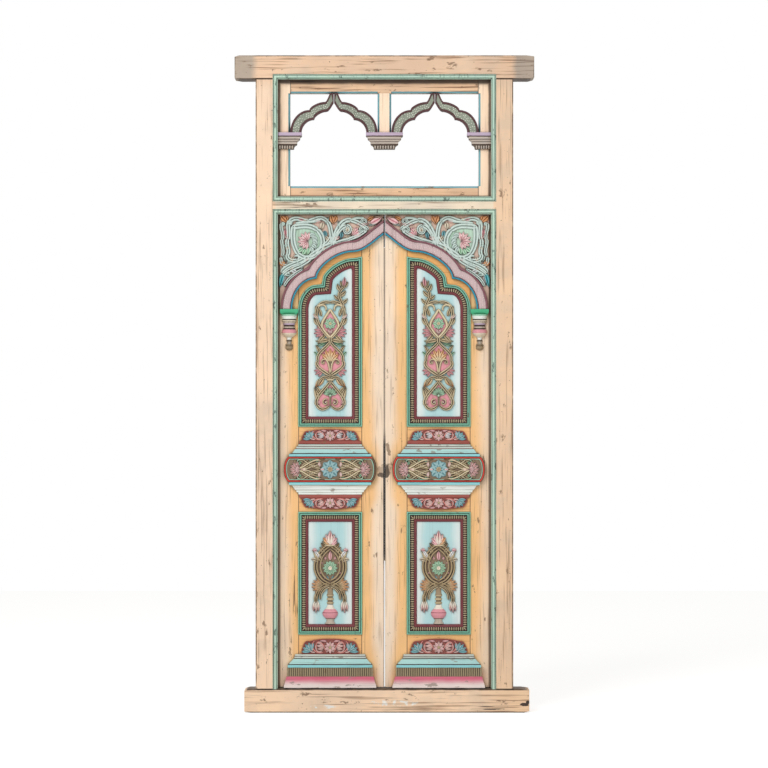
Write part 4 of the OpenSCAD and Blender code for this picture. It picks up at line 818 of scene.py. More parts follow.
# rows that repeat: geometry nodes
def newTree(name, inputs):
    tree = bpy.data.node_groups.new(name, "GeometryNodeTree")
    tree.interface.new_socket(name="Geometry", in_out="INPUT", socket_type="NodeSocketGeometry")
    for inputName, kind in inputs:
        tree.interface.new_socket(name=inputName, in_out="INPUT", socket_type=kind)
    tree.interface.new_socket(name="Geometry", in_out="OUTPUT", socket_type="NodeSocketGeometry")
    return tree, addNode(tree, "NodeGroupInput").outputs


def closeTree(tree, instances, material):
    real = addNode(tree, "GeometryNodeRealizeInstances", {"Geometry": instances})
    painted = addNode(tree, "GeometryNodeSetMaterial", {"Geometry": real, "Material": material})
    addNode(tree, "NodeGroupOutput", {0: painted})


def rowPiece(mesh, tree, values, name, body, slot, **more):
    # runs the tree on the mesh and keeps its result as a plain mesh
    carrier = bpy.data.objects.new(name + "Path", mesh)
    scene.collection.objects.link(carrier)
    modifier = carrier.modifiers.new("row", "NODES")
    modifier.node_group = tree
    for item in tree.interface.items_tree:
        if item.in_out == "INPUT" and item.name in values:
            modifier[item.identifier] = values[item.name]
    bpy.context.view_layer.update()
    made = bpy.data.meshes.new_from_object(carrier.evaluated_get(bpy.context.evaluated_depsgraph_get()))
    made.name = name
    carrier.modifiers.clear()
    bpy.data.objects.remove(carrier)
    return placePiece(made, name, body, slot, [], **more)


def beadRowTree():
    # rounded bars across a path, one for each pitch
    tree, given = newTree("beadRow", [("Pitch", "NodeSocketFloat"), ("Bar Size", "NodeSocketVector"),
                                      ("Finish", "NodeSocketMaterial")])
    path = addNode(tree, "GeometryNodeMeshToCurve", {"Mesh": given["Geometry"]})
    spaced = addNode(tree, "GeometryNodeResampleCurve", {"Curve": path, "Length": given["Pitch"]},
                     mode="LENGTH")
    tangent = addNode(tree, "GeometryNodeInputTangent")
    turned = addNode(tree, "FunctionNodeAlignRotationToVector", {"Vector": tangent}, axis="X", pivot_axis="Y")
    bar = addNode(tree, "GeometryNodeMeshUVSphere", {"Segments": 8, "Rings": 5, "Radius": 1.0})
    rows = addNode(tree, "GeometryNodeInstanceOnPoints",
                   {"Points": spaced, "Instance": bar, "Rotation": turned, "Scale": given["Bar Size"]})
    closeTree(tree, rows, given["Finish"])
    return tree


def stippleTree():
    # low round punch marks spread over a face, kept apart from each other
    tree, given = newTree("stipple", [("Spacing", "NodeSocketFloat"), ("Dot Size", "NodeSocketVector"),
                                      ("Finish", "NodeSocketMaterial")])
    spread = addNode(tree, "GeometryNodeDistributePointsOnFaces",
                     {"Mesh": given["Geometry"], "Distance Min": given["Spacing"], "Density Max": 60000.0,
                      "Seed": 7}, distribute_method="POISSON")
    dot = addNode(tree, "GeometryNodeMeshIcoSphere", {"Radius": 1.0, "Subdivisions": 1})
    rows = addNode(tree, "GeometryNodeInstanceOnPoints",
                   {"Points": spread.outputs["Points"], "Instance": dot, "Scale": given["Dot Size"]})
    closeTree(tree, rows, given["Finish"])
    return tree


def reedTree():
    # upright half rounds side by side along X
    tree, given = newTree("reeds", [("Count", "NodeSocketInt"), ("First", "NodeSocketVector"),
                                    ("Step", "NodeSocketVector"), ("Radius", "NodeSocketFloat"),
                                    ("Height", "NodeSocketFloat"), ("Finish", "NodeSocketMaterial")])
    line = addNode(tree, "GeometryNodeMeshLine", {"Count": given["Count"], "Start Location": given["First"],
                                                  "Offset": given["Step"]}, mode="OFFSET")
    reed = addNode(tree, "GeometryNodeMeshCylinder", {"Vertices": 12, "Radius": given["Radius"],
                                                      "Depth": given["Height"]})
    rows = addNode(tree, "GeometryNodeInstanceOnPoints", {"Points": line, "Instance": reed})
    closeTree(tree, rows, given["Finish"])
    return tree


beadRow, stipple, reeds = beadRowTree(), stippleTree(), reedTree()
mouldBeads = {"middle": 20.4, "pitch": 8.3, "bar": (2.4, 5.6, 7.5), "level": 6.8}  # mm


def pathMesh(line, y, name):
    # a closed line of edges
    mesh = bpy.data.meshes.new(name)
    edges = [(i, i + 1) for i in range(len(line) - 1)] + [(len(line) - 1, 0)]
    mesh.from_pydata([(x * mm, y * mm, z * mm) for x, z in line], edges, [])
    return mesh


for side in ("left", "right"):
    for label, outline in panelOutlines.items():
        middle = shifted(outline, mouldBeads["middle"], True)
        path = pathMesh(middle, leaf["panel"] - mouldBeads["level"], "beadPath")
        values = {"Pitch": mouldBeads["pitch"] * mm, "Bar Size": [v * mm for v in mouldBeads["bar"]],
                  "Finish": paints["beadCream"]}
        rowPiece(path, beadRow, values, side + label + "Beads", side + "_leaf", "moulding_paint",
                 flip=side == "right", sharp=80)
print("bead rows made")

# a dark fill in the joint between the leaves, standing for the shade in the gap; a thread of daylight is left
# where the edges have worn (mm)
jointGapShade = {"front": -4.0, "back": 12.0, "stretches": [(-2.9, -0.9, 93.0, 559.0),
                                                        (-0.9, 0.48, 562.0, 1727.0),
                                                        (-2.9, 1.5, 1731.0, 1861.0)]}
work = newWork()
for shadeFillLeft, shadeFillRight, low, high in jointGapShade["stretches"]:
    weave(work, [[(shadeFillLeft, jointGapShade["front"], z), (shadeFillRight, jointGapShade["front"], z),
                  (shadeFillRight, jointGapShade["back"], z), (shadeFillLeft, jointGapShade["back"], z)] for z in (low, high)],
          lambda i, j: "dust")
makePiece(work, "jointGapShade", "left_leaf", "leaf_paint", [], handmade=0.0)
print("joint dusted")

# arch band over the leaves: maroon outer roll, stippled mauve field, maroon and turquoise inner edge
bandProfile = painted(
    ("edgeBlue", (0.0, -0.8), (0.0, 19.5), (0.8, 21.6), (3.4, 22.6)), ("umber", (5.2, 21.6)),
    ("edgeMaroon", (6.0, 19.6), (6.8, 21.0), (8.0, 20.2)),
    ("mauve", (8.4, 17.4), (12.0, 18.2), (21.0, 18.8), (30.0, 18.2)),
    ("edgeMaroon", (35.4, 17.4), (36.0, 20.8), (37.4, 22.6), (39.6, 23.0),
     (41.6, 22.0), (42.3, 19.6), (42.3, -0.8)))


def archBand(work):
    ribbon(work, archLong, bandProfile, leaf["front"], False)
    cutAt(work, leaf["trimIn"])


def fieldMesh(line, near, far, y, name, limit):
    # the flat strip that carries the punch marks
    inner, outer = shifted(line, near, False), shifted(line, far, False)
    points = [(min(x, limit) * mm, y * mm, z * mm) for x, z in inner + outer]
    count = len(inner)
    mesh = bpy.data.meshes.new(name)
    mesh.from_pydata(points, [], [(i, i + 1, count + i + 1, count + i) for i in range(count - 1)])
    return mesh


bothLeaves(archBand, "ArchBand", "band_paint", "arch_band", handmade=0.3, sharp=35)
bandDots = {"spacing": 6.8, "dot": (2.5, 1.7, 2.5), "near": 10.5, "far": 33.5, "level": 18.3}  # mm
for side in ("left", "right"):
    strip = fieldMesh(archLong, bandDots["near"], bandDots["far"], leaf["front"] - bandDots["level"],
                      "bandField", leaf["trimIn"] - 3)
    values = {"Spacing": bandDots["spacing"] * mm, "Dot Size": [v * mm for v in bandDots["dot"]],
              "Finish": paints["mauveDot"]}
    rowPiece(strip, stipple, values, side + "BandDots", side + "_leaf", "band_paint", flip=side == "right",
             sharp=80)
print("arch bands made")

# spandrel: pale scrolls on a flesh-coloured ground, in a box 385 by 268 from its lower hinge-side corner
spandrel = {"ground": 6.0, "rise": 8.4, "fullness": 1.34,
            "origin": (leaf["trimOut"], leaf["trimHead"] - 268.0)}


def spandrelGround(work):
    edge = shifted(archLong, arch["band"] + 0.4, False)
    edge = [p for p in edge if p[0] < leaf["trimIn"] - 1]
    low = (leaf["trimOut"], edge[0][1])
    outline = [low] + edge + [(leaf["trimIn"], edge[-1][1] + 2), (leaf["trimIn"], leaf["trimHead"]),
                              (leaf["trimOut"], leaf["trimHead"])]
    plate(work, outline, leaf["front"] + 0.8, leaf["front"] - spandrel["ground"], "flesh")


def spandrelWork(work):
    ox, oz = spandrel["origin"]
    base = leaf["front"] - spandrel["ground"]
    rise, full = spandrel["rise"], spandrel["fullness"]

    def at(*points):
        return [(ox + x, oz + z) for x, z in points]

    def vine(points, w0, w1, section="ribbon"):
        stem(work, bend(*at(*points)), w0 * full, w1 * full, "scroll", rise, base, section)

    def leafAt(x, z, angle, length, width, paint, curve=0.0, section="leaf"):
        blade(work, (ox + x, oz + z), angle, length, width * 1.15, paint, rise * 1.14, base, curve, section)

    spandrelGround(work)
    # heart frame
    plate(work, bend(*at((54, 222), (90, 230), (118, 228), (138, 212)), 10)
          + bend(*at((138, 212), (160, 194), (164, 152), (134, 122)), 10)[1:]
          + bend(*at((134, 122), (116, 108), (98, 108), (80, 116)), 8)[1:]
          + bend(*at((80, 116), (58, 138), (50, 190), (54, 222)), 10)[1:-1], base + 0.8, base - 1.6,
          "heartGreen")
    vine([(46, 224), (90, 231), (120, 232), (140, 211)], 16, 15)
    vine([(138, 214), (166, 192), (169, 148), (131, 118)], 15, 15)
    vine([(51, 230), (44, 192), (46, 152), (70, 122)], 16, 14)
    vine([(66, 126), (84, 106), (112, 102), (137, 122)], 14, 14)
    fan(work, (ox + 103, oz + 172), 8, 80, 262, 39, 13, "petalPink", rise=rise, base=base - 1,
        section="petal", widest=0.56)
    fan(work, (ox + 103, oz + 172), 6, 100, 245, 25, 10, "pink", rise=rise + 2, base=base - 1,
        section="petal", widest=0.56)
    for x, z, a, turn, paint in ((110, 190, 50, -110, "scroll"), (118, 182, 24, -100, "scroll"),
                                 (120, 172, 4, -90, "scroll"), (118, 160, -20, -60, "scroll"),
                                 (112, 150, -46, -50, "scroll"), (104, 146, -76, -40, "green"),
                                 (94, 142, -104, -30, "green"), (84, 146, -130, -30, "green")):
        leafAt(x, z, a, 26, 16, paint, turn, "petal")
    # ribbons along the top and the hinge side
    vine([(34, 244), (58, 270), (86, 244), (108, 246)], 13, 13)
    vine([(104, 246), (134, 250), (152, 276), (180, 240)], 13, 12)
    vine([(178, 244), (190, 226), (192, 196), (194, 158)], 12, 14)
    vine([(58, 238), (96, 246), (124, 240), (152, 252)], 9, 9, section="round")
    vine([(36, 250), (22, 226), (40, 200), (28, 176)], 13, 12)
    vine([(29, 180), (20, 156), (38, 140), (28, 118)], 12, 12)
    vine([(6, 238), (-2, 214), (18, 200), (8, 176)], 11, 10)
    vine([(8, 180), (2, 158), (18, 144), (8, 116)], 10, 10)
    vine([(28, 124), (22, 104), (44, 92), (66, 102)], 12, 11)
    vine([(64, 101), (78, 108), (68, 124), (54, 114)], 9, 6, section="round")
    boss(work, (ox + 36, oz + 240), 11, rise + 2.5, "scroll", base, dimple=0.3)
    boss(work, (ox + 12, oz + 236), 8, rise + 1.5, "scroll", base, dimple=0.3)
    # stem that follows the band
    vine([(4, 54), (26, 88), (66, 84), (112, 118)], 13, 13)
    vine([(10, 42), (34, 72), (74, 72), (116, 108)], 12, 13)
    vine([(110, 112), (136, 134), (160, 148), (192, 160)], 15, 17)
    vine([(150, 150), (170, 158), (184, 172), (190, 190)], 11, 12)
    # right half: the great scroll
    vine([(194, 154), (204, 200), (226, 262), (268, 249)], 15, 14)
    vine([(262, 251), (292, 244), (308, 230), (330, 216)], 14, 9)
    vine([(198, 160), (206, 192), (222, 222), (246, 230)], 12, 12)
    stem(work, spiral((ox + 248, oz + 213), 17, 4, 95, -420), 14, 8, "scroll", rise, base, "ribbon")
    vine([(196, 158), (236, 178), (286, 178), (320, 214)], 13, 11)
    stem(work, spiral((ox + 306, oz + 214), 14, 4, -60, 400), 11, 7, "scroll", rise, base, "ribbon")
    stem(work, spiral((ox + 313, oz + 244), 11, 3, 200, -420), 10, 6, "scroll", rise, base, "ribbon")
    vine([(270, 252), (286, 262), (300, 256), (312, 258)], 9, 8, section="round")
    fan(work, (ox + 268, oz + 190), 5, 0, 70, 40, 15, "pink", rise=rise, base=base, section="petal")
    leafAt(338, 238, 26, 48, 22, "pink", 6, "petal")
    leafAt(326, 250, 34, 30, 13, "apricot", -20)
    leafAt(330, 230, 18, 52, 10, "scroll", 12)
    leafAt(350, 262, -4, 36, 12, "flesh", -4)
    # between the first lobe of the band and the hinge side
    vine([(15, 4), (32, 38), (54, 48), (84, 68)], 10, 9)
    vine([(4, 112), (2, 88), (14, 74), (26, 84)], 10, 8)
    vine([(200, 166), (232, 168), (262, 176), (292, 196)], 9, 7)
    # loose leaves
    for x, z, a, length, width, paint, turn in (
            (40, 44, 150, 34, 16, "scroll", 50), (62, 54, 140, 30, 15, "white", 50),
            (86, 72, 130, 30, 14, "scroll", 40), (30, 84, 60, 30, 13, "scroll", 40),
            (56, 84, 50, 30, 13, "scroll", 40), (14, 150, 20, 26, 13, "scroll", 40),
            (206, 178, 62, 34, 13, "scroll", 36), (216, 214, 74, 34, 13, "scroll", 30),
            (236, 244, 10, 32, 12, "scroll", -24), (288, 204, 24, 36, 13, "scroll", 30),
            (262, 214, 0, 26, 11, "cream", -40), (300, 232, 8, 30, 12, "palePink", 10),
            (170, 236, 60, 28, 12, "scroll", 20), (182, 168, 110, 34, 13, "cream", 30),
            (150, 156, 60, 30, 12, "scroll", 40), (18, 196, -60, 26, 11, "palePink", 20),
            (84, 250, 8, 26, 11, "cream", 10), (16, 120, -70, 28, 12, "scroll", -20),
            (4, 264, -50, 34, 19, "apricot", 10), (20, 266, -70, 26, 14, "apricot", 10),
            (190, 266, -80, 34, 18, "apricot", 20), (210, 266, -105, 30, 15, "apricot", -20),
            (0, 96, -50, 30, 16, "apricot", 20), (10, 100, -80, 26, 13, "apricot", 10),
            (66, 254, -14, 30, 13, "pink", 10), (20, 216, -90, 30, 14, "pink", 10),
            (166, 210, -80, 30, 15, "blue", -10), (232, 206, 250, 28, 14, "blue", 20),
            (160, 240, 250, 26, 17, "cream", 20), (254, 226, 250, 28, 15, "cream", 20),
            (222, 188, 200, 30, 15, "palePink", 20), (48, 112, 240, 24, 14, "cream", 30),
            (14, 52, 250, 54, 20, "sea", 8), (20, 44, 252, 36, 9, "white", 6),
            (156, 134, 40, 26, 12, "cream", 20), (20, 140, 40, 22, 11, "cream", 10),
            (60, 78, 30, 28, 12, "scroll", 20), (36, 62, 40, 26, 10, "cream", 20),
            (90, 98, 20, 26, 10, "palePink", 20), (130, 244, 10, 26, 11, "palePink", 0),
            (240, 184, 20, 28, 10, "cream", 10), (282, 236, 0, 22, 10, "palePink", 0)):
        leafAt(x, z, a, length, width, paint, turn)
    cutAt(work, leaf["trimIn"])


bothLeaves(spandrelWork, "Spandrel", "spandrel_paint", "spandrel", handmade=0.5)
print("spandrels carved")


def pairTools(work, origin, rise, base, full=1.0, count=14):
    # stems and leaves that come in mirrored pairs about the middle line through origin
    def both(points, w0, w1, paint="tan", section="double", count=count):
        for side in (1, -1):
            line = bend(*[(origin[0] + side * x, origin[1] + z) for x, z in points], count)
            stem(work, line, w0 * full, w1 * full, paint, rise, base, section)

    def bothLeaf(x, z, angle, length, width, paint, curve=0.0, section="leaf", lift=0.0):
        for side in (1, -1):
            turned = angle if side == 1 else 180 - angle
            blade(work, (origin[0] + side * x, origin[1] + z), turned, length, width, paint,
                  rise * 0.9 + lift, base, side * curve, section)

    return both, bothLeaf


# upper carving: stems tied into two hearts and a lozenge, with a curl and a bud on top;
# x is from the middle, z from the foot
upperCarving = {"origin": (leaf["mid"], 1123.0), "rise": 10.5, "fullness": 1.32}


def upperCarvingWork(work):
    ox, oz = upperCarving["origin"]
    rise, base = upperCarving["rise"], leaf["panel"]
    both, bothLeaf = pairTools(work, (ox, oz), rise, base, upperCarving["fullness"])

    def place(points, side):
        return [(ox + side * x, oz + z) for x, z in points]

    def bothFan(x, z, count, a0, a1, length, width, paint, **more):
        for side in (1, -1):
            turned = (a0, a1) if side == 1 else (180 - a0, 180 - a1)
            fan(work, (ox + side * x, oz + z), count, turned[0], turned[1], length, width, paint,
                rise=rise * 0.9, base=base, **more)

    def ground(points, paint, level):
        left = place(points, 1)
        plate(work, left + place(points, -1)[::-1][1:-1], base + 0.8, base - level, paint)

    # painted grounds
    ground(bend((0, 104), (-24, 72), (-62, 42), (-48, 18)) + bend((-48, 18), (-40, 0), (-20, 0), (0, 16))[1:],
           "heartPink", 3)
    ground(bend((0, 252), (-18, 226), (-54, 212), (-44, 182))
           + bend((-44, 182), (-60, 166), (-34, 150), (0, 130))[1:], "heartPink", 3)
    ground(bend((0, 374), (-12, 350), (-38, 326), (-28, 306)) + [(0, 274)], "heartPink", 3)
    # bottom heart
    both([(0, 106), (-24, 72), (-64, 42), (-49, 17)], 9, 10)
    both([(-49, 19), (-41, -1), (-20, -2), (-4, 16)], 10, 7)
    for side in (1, -1):
        eye = (ox - side * 17, oz + 29)
        stem(work, spiral(eye, 13, 3, 60 if side == 1 else 120, side * 400), 6, 4, "tan", rise, base, "round")
        boss(work, eye, 3.6, rise + 1, "palePink", base)
    bothLeaf(-45, 36, 98, 50, 19, "tan", 20)
    bothLeaf(-34, 58, 112, 40, 14, "tan", 30)
    bothLeaf(-40, 22, 120, 18, 10, "pink", -40, "petal")
    fan(work, (ox, oz + 54), 7, 20, 160, 32, 10, "green", rise=rise, base=base, section="petal")
    boss(work, (ox, oz + 54), 5, rise + 2, "green", base)
    stem(work, [(ox, oz + z) for z in (16, 24, 34, 44, 54)], 8, 6, "tan", rise, base, "double")
    # tie and hooked leaves
    stem(work, [(ox + x, oz + 113) for x in (-13, -7, 0, 7, 13)], 10, 10, "tan", rise + 3, base, "round", 0.2)
    stem(work, [(ox, oz + z) for z in (98, 108, 118, 132)], 13, 11, "tan", rise, base)
    both([(-3, 114), (-20, 132), (-38, 122), (-47, 90)], 9, 6)
    bothLeaf(-26, 122, 250, 42, 19, "orange", -30)
    bothLeaf(-42, 114, 256, 34, 14, "orange", -24)
    bothFan(-26, 150, 4, 160, 236, 36, 9, "petalPink", section="cup")
    # middle heart and its lily
    both([(0, 254), (-18, 226), (-56, 213), (-45, 181)], 9, 9)
    both([(-45, 184), (-62, 166), (-34, 150), (0, 128)], 9, 11)
    both([(-2, 138), (-2, 172), (-12, 198), (-31, 186)], 7, 5, section="round")
    for side in (1, -1):
        stem(work, spiral((ox - side * 26, oz + 178), 9, 3, 80 if side == 1 else 100, side * 330), 5, 4,
             "tan", rise, base, "round")
        boss(work, (ox - side * 26, oz + 178), 3, rise + 1, "tan", base)
    fan(work, (ox, oz + 180), 5, 44, 136, 50, 18, "orange", rise=rise + 1, base=base, section="petal",
        widest=0.5)
    stem(work, [(ox, oz + z) for z in (132, 146, 160, 176, 190)], 9, 7, "tan", rise + 0.6, base, "double")
    bothLeaf(-2, 264, 204, 54, 18, "tan", -34)
    bothLeaf(-14, 252, 212, 40, 11, "green", -30)
    bothLeaf(-40, 212, 98, 34, 13, "tan", 40)
    bothLeaf(-44, 200, 120, 24, 11, "green", 30)
    # lozenge with its rosette
    both([(0, 376), (-12, 350), (-39, 327), (-29, 305)], 8, 8, section="round")
    both([(-29, 309), (-22, 292), (-10, 282), (0, 270)], 8, 8, section="round")
    both([(0, 400), (-22, 410), (-62, 394), (-50, 340)], 9, 9)
    both([(-50, 343), (-44, 312), (-22, 288), (0, 268)], 9, 11)
    both([(-46, 386), (-30, 400), (-10, 390), (-17, 370)], 8, 5, section="round")
    bothFan(-22, 292, 5, 146, 232, 40, 9.5, "petalPink", section="cup")
    bothLeaf(-20, 278, 216, 42, 17, "tan", 30)
    bothLeaf(-42, 316, 136, 34, 16, "tan", -20)
    bothLeaf(-44, 340, 146, 26, 12, "palePink", -20, "petal")
    bothLeaf(-48, 366, 120, 24, 12, "tan", -30)
    bothLeaf(-34, 350, 100, 38, 14, "tan", 20)
    rosette(work, (ox, oz + 322), 8, 22, 14, "green", "tan", rise + 1, base)
    bothLeaf(0, 284, 118, 22, 8, "palePink", 0, "petal")
    stem(work, [(ox, oz + z) for z in (248, 256, 264, 272)], 14, 14, "tan", rise + 1, base, "double")
    # curl and bud
    stem(work, bend(*place([(46, 370), (56, 400), (22, 416), (37, 443)], 1)), 13, 11, "tan", rise, base)
    stem(work, bend(*place([(36, 440), (42, 456), (52, 452), (50, 464)], 1)), 11, 9, "tan", rise, base,
         "double")
    for x, z, a, length, width, paint, turn in (
            (35, 424, 24, 32, 16, "tan", 40), (38, 444, 128, 30, 16, "tan", -30),
            (46, 398, 30, 26, 14, "tan", 30), (32, 414, 160, 24, 13, "tan", -40),
            (50, 454, 84, 42, 17, "pink", 0), (46, 456, 112, 28, 11, "tan", -10),
            (54, 456, 56, 26, 11, "tan", 14)):
        blade(work, (ox + x, oz + z), a, length, width, paint, rise, base, turn)


bothLeaves(upperCarvingWork, "UpperCarving", "carving_paint", "upper_carving", handmade=0.5)
print("upper carvings made")

# lower carving: a vase with tulips, an oval of stems round a rosette, a lotus on top
lowerCarving = {"origin": (leaf["mid"], 326.0), "rise": 11.0}


def lowerCarvingWork(work):
    ox, oz = lowerCarving["origin"]
    rise, base = lowerCarving["rise"], leaf["panel"]
    both, bothLeaf = pairTools(work, (ox, oz), rise, base, count=16)
    oval = bend((0, 150), (-72, 168), (-66, 262), (0, 290), 20)
    plate(work, [(ox + x, oz + z) for x, z in oval + [(-x, z) for x, z in oval][::-1][1:-1]], base + 0.8,
          base - 3, "darkGround")
    both([(0, 146), (-76, 168), (-68, 262), (0, 294)], 18, 16, "brown", count=22)
    both([(0, 162), (-50, 180), (-48, 250), (0, 278)], 8, 7, "brown", "round", 20)
    rosette(work, (ox, oz + 208), 12, 28, 12, "green", "cream", rise + 1.5, base)
    for a in (28, 62, 118, 152, 205, 240, 300, 335):
        spot = (ox + 33 * cos(radians(a)), oz + 208 + 36 * sin(radians(a)))
        blade(work, spot, a, 13, 8, "pink", rise * 0.7, base, section="petal", count=6)
    blade(work, (ox, oz + 238), 90, 36, 15, "pink", rise, base, section="petal")
    for side in (1, -1):
        blade(work, (ox - side * 6, oz + 164), 90 + side * 22, 18, 7, "blue", rise * 0.6, base,
              section="petal", count=6)
        fan(work, (ox - side * 24, oz + 140), 6, 90 + side * 44, 90 + side * 126, 47, 10, "orange",
            rise=rise * 0.9, base=base, section="petal")
    # drooping stems and their tulips
    both([(-4, 150), (-40, 142), (-57, 112), (-52, 78)], 16, 12, "brown")
    both([(-2, 140), (-28, 134), (-40, 112), (-36, 90)], 12, 9, "tan", "double")
    bothLeaf(-44, 118, 232, 38, 16, "tan", 30)
    bothLeaf(-20, 134, 236, 36, 16, "brown", -20)
    bothLeaf(-54, 86, 250, 40, 13, "tulip", 14, "petal")
    bothLeaf(-50, 86, 286, 40, 13, "tulip", -14, "petal")
    bothLeaf(-52, 84, 268, 44, 11, "tulip", 0, "petal", 1.5)
    # corner leaves and the shoulders
    bothLeaf(-34, 236, 118, 48, 27, "tan", 24)
    bothLeaf(-44, 234, 142, 28, 18, "cream", 50)
    bothLeaf(-42, 246, 104, 36, 15, "white", 46, "petal", 1.5)
    bothLeaf(-51, 272, 140, 17, 13, "pink", 70, "petal", 2.0)
    bothLeaf(-22, 262, 112, 30, 17, "tan", 30)
    bothLeaf(-14, 282, 150, 28, 16, "brown", -30)
    # lotus
    for a, length, width, paint in ((22, 30, 17, "pink"), (158, 32, 19, "brown"), (46, 37, 20, "pink"),
                                    (134, 38, 21, "apricot"), (68, 44, 19, "palePink"),
                                    (112, 44, 19, "palePink"), (90, 53, 23, "tulip")):
        blade(work, (ox, oz + 294), a, length, width, paint, rise + (2 if a == 90 else 0), base,
              section="petal")
    stem(work, [(ox + x, oz + 292) for x in (-20, -10, 0, 10, 20)], 8, 8, "tan", rise + 2, base, "round", 0.2)
    # ringed neck and the turned vase, as half rounds
    turned = painted(
        ("umber", (73, 10)), ("tan", (75, 12)), ("brown", (80, 13)), ("umber", (84, 9)),
        ("tan", (87, 10), (90, 14)), ("brown", (95, 13)), ("umber", (99, 9)), ("tan", (102, 11)),
        ("brown", (107, 14), (113, 11), (124, 10), (150, 9)))
    vase = painted(
        ("pendant", (0, 19), (3, 19), (8, 15), (14, 14)), ("umber", (19, 17)),
        ("pink", (21, 19), (29, 26), (37, 29)), ("maroon", (41, 29)), ("pink", (43, 28), (50, 24)),
        ("tulip", (55, 19), (60, 15), (66, 12), (72, 10)))
    for profile in (turned, vase):
        rows = []
        for z, r, paint in profile:
            rows.append([(ox + r * cos(pi * j / 12), base + 0.8 - 0.62 * r * sin(pi * j / 12), oz + z)
                         for j in range(13)])
        weave(work, rows, lambda i, j, profile=profile: profile[i][2], stroke=lambda i, j: (0.0, 0.0, 0.7))


bothLeaves(lowerCarvingWork, "LowerCarving", "carving_paint", "lower_carving", handmade=0.5)
print("lower carvings made")


# stepped mouldings that return round their ends: rows are (height, inset, rise, paint of the face above)
def returned(work, rows, mid, halfWidth, front):
    across = 30
    made = []
    for z, inset, rise, paint in rows:
        half = halfWidth - inset
        ring = [(mid - half, front + 0.8, z)]
        ring += [(mid - half + 2 * half * j / across, front - rise, z) for j in range(across + 1)]
        ring.append((mid + half, front + 0.8, z))
        made.append(ring)
    weave(work, made, lambda i, j: rows[i][3])


lockSteps = painted(
    ("sky", (48.2, 20, 24.6), (49.4, 19.4, 25.8)), ("umber", (57.2, 19.4, 25.8), (59.6, 25, 20.8)),
    ("aqua", (60.6, 31, 19.2), (62.0, 32, 18.2), (66.0, 35, 16.2), (71.6, 38.8, 14.9)),
    ("maroon", (75.4, 41.6, 14.2)), ("step", (77.8, 45, 12.2), (78.8, 46, 12.6)), ("umber", (84.2, 47, 12.2)),
    ("step", (86.4, 51, 10.0), (87.4, 53.6, 10.2)), ("umber", (92.6, 54, 10.0)),
    ("redBrown", (94.6, 56.4, 8.4), (96.0, 57, 8.8), (105.6, 58, 8.2)))
# greyer above the cartouche, whiter below it
stepPaint = {1: {"step": "pale"}, -1: {"step": "chalk", "aqua": "chalk", "umber": "pale", "maroon": "pale"}}
cartouche = {"half": 172.0, "halfHeight": 48.0, "tip": 20.0, "ground": 19.4}
# its upper left quarter: stems by four points, widths and paint; sprigs by root, angle from the left,
# length, width, paint, turn and section
quarterStems = [
    ((-116, 4), (-92, 8), (-72, 40), (-34, 34), 8.5, 6.5, "tan"),
    ((-110, 2), (-84, 5), (-66, 28), (-34, 26), 7, 5.5, "brown"),
    ((-102, 0), (-78, 2), (-64, 17), (-38, 17), 6.5, 4.5, "tan"),
    ((-36, 4), (-60, 8), (-84, 24), (-100, 35), 5.5, 4.5, "tan"),
    ((-38, 9), (-58, 14), (-76, 27), (-88, 36), 5, 4, "brown"),
    ((-40, 1), (-66, 4), (-92, 20), (-112, 33), 5, 4, "brown"),
    ((-120, 28), (-124, 34), (-112, 38), (-98, 36), 4.5, 4, "green")]
quarterSprigs = [
    (-104, 9, 128, 28, 12, "tan", 30), (-94, 15, 100, 24, 10, "tan", 40),
    (-118, 16, 120, 22, 10, "green", 20), (-80, 26, 140, 18, 9, "green", 20),
    (-58, 15, 40, 26, 7, "brown", 10), (-44, 36, 170, 26, 8, "brown", 10),
    (-38, 10, 70, 24, 10, "palePink", 30, "petal"), (-70, 6, 150, 22, 9, "brown", 20),
    (-66, 22, 60, 20, 9, "tan", -20), (-126, 22, 60, 16, 9, "tan", 20), (-98, 30, 20, 22, 9, "tan", -10),
    (-50, 24, 110, 16, 8, "green", 20)]


def cartoucheEdge(inset):
    w, h, tip = cartouche["half"], cartouche["halfHeight"], cartouche["tip"]
    turns = [radians(a) for a in range(-90, 91, 6)]
    right = [(w - tip + tip * max(0.0, cos(a)) ** 1.2, h * sin(a)) for a in turns]
    loop = [(leaf["mid"] + x, leaf["lockMid"] + z) for x, z in right + [(-x, z) for x, z in right[::-1]]]
    return shifted(loop, inset, True) if inset else loop


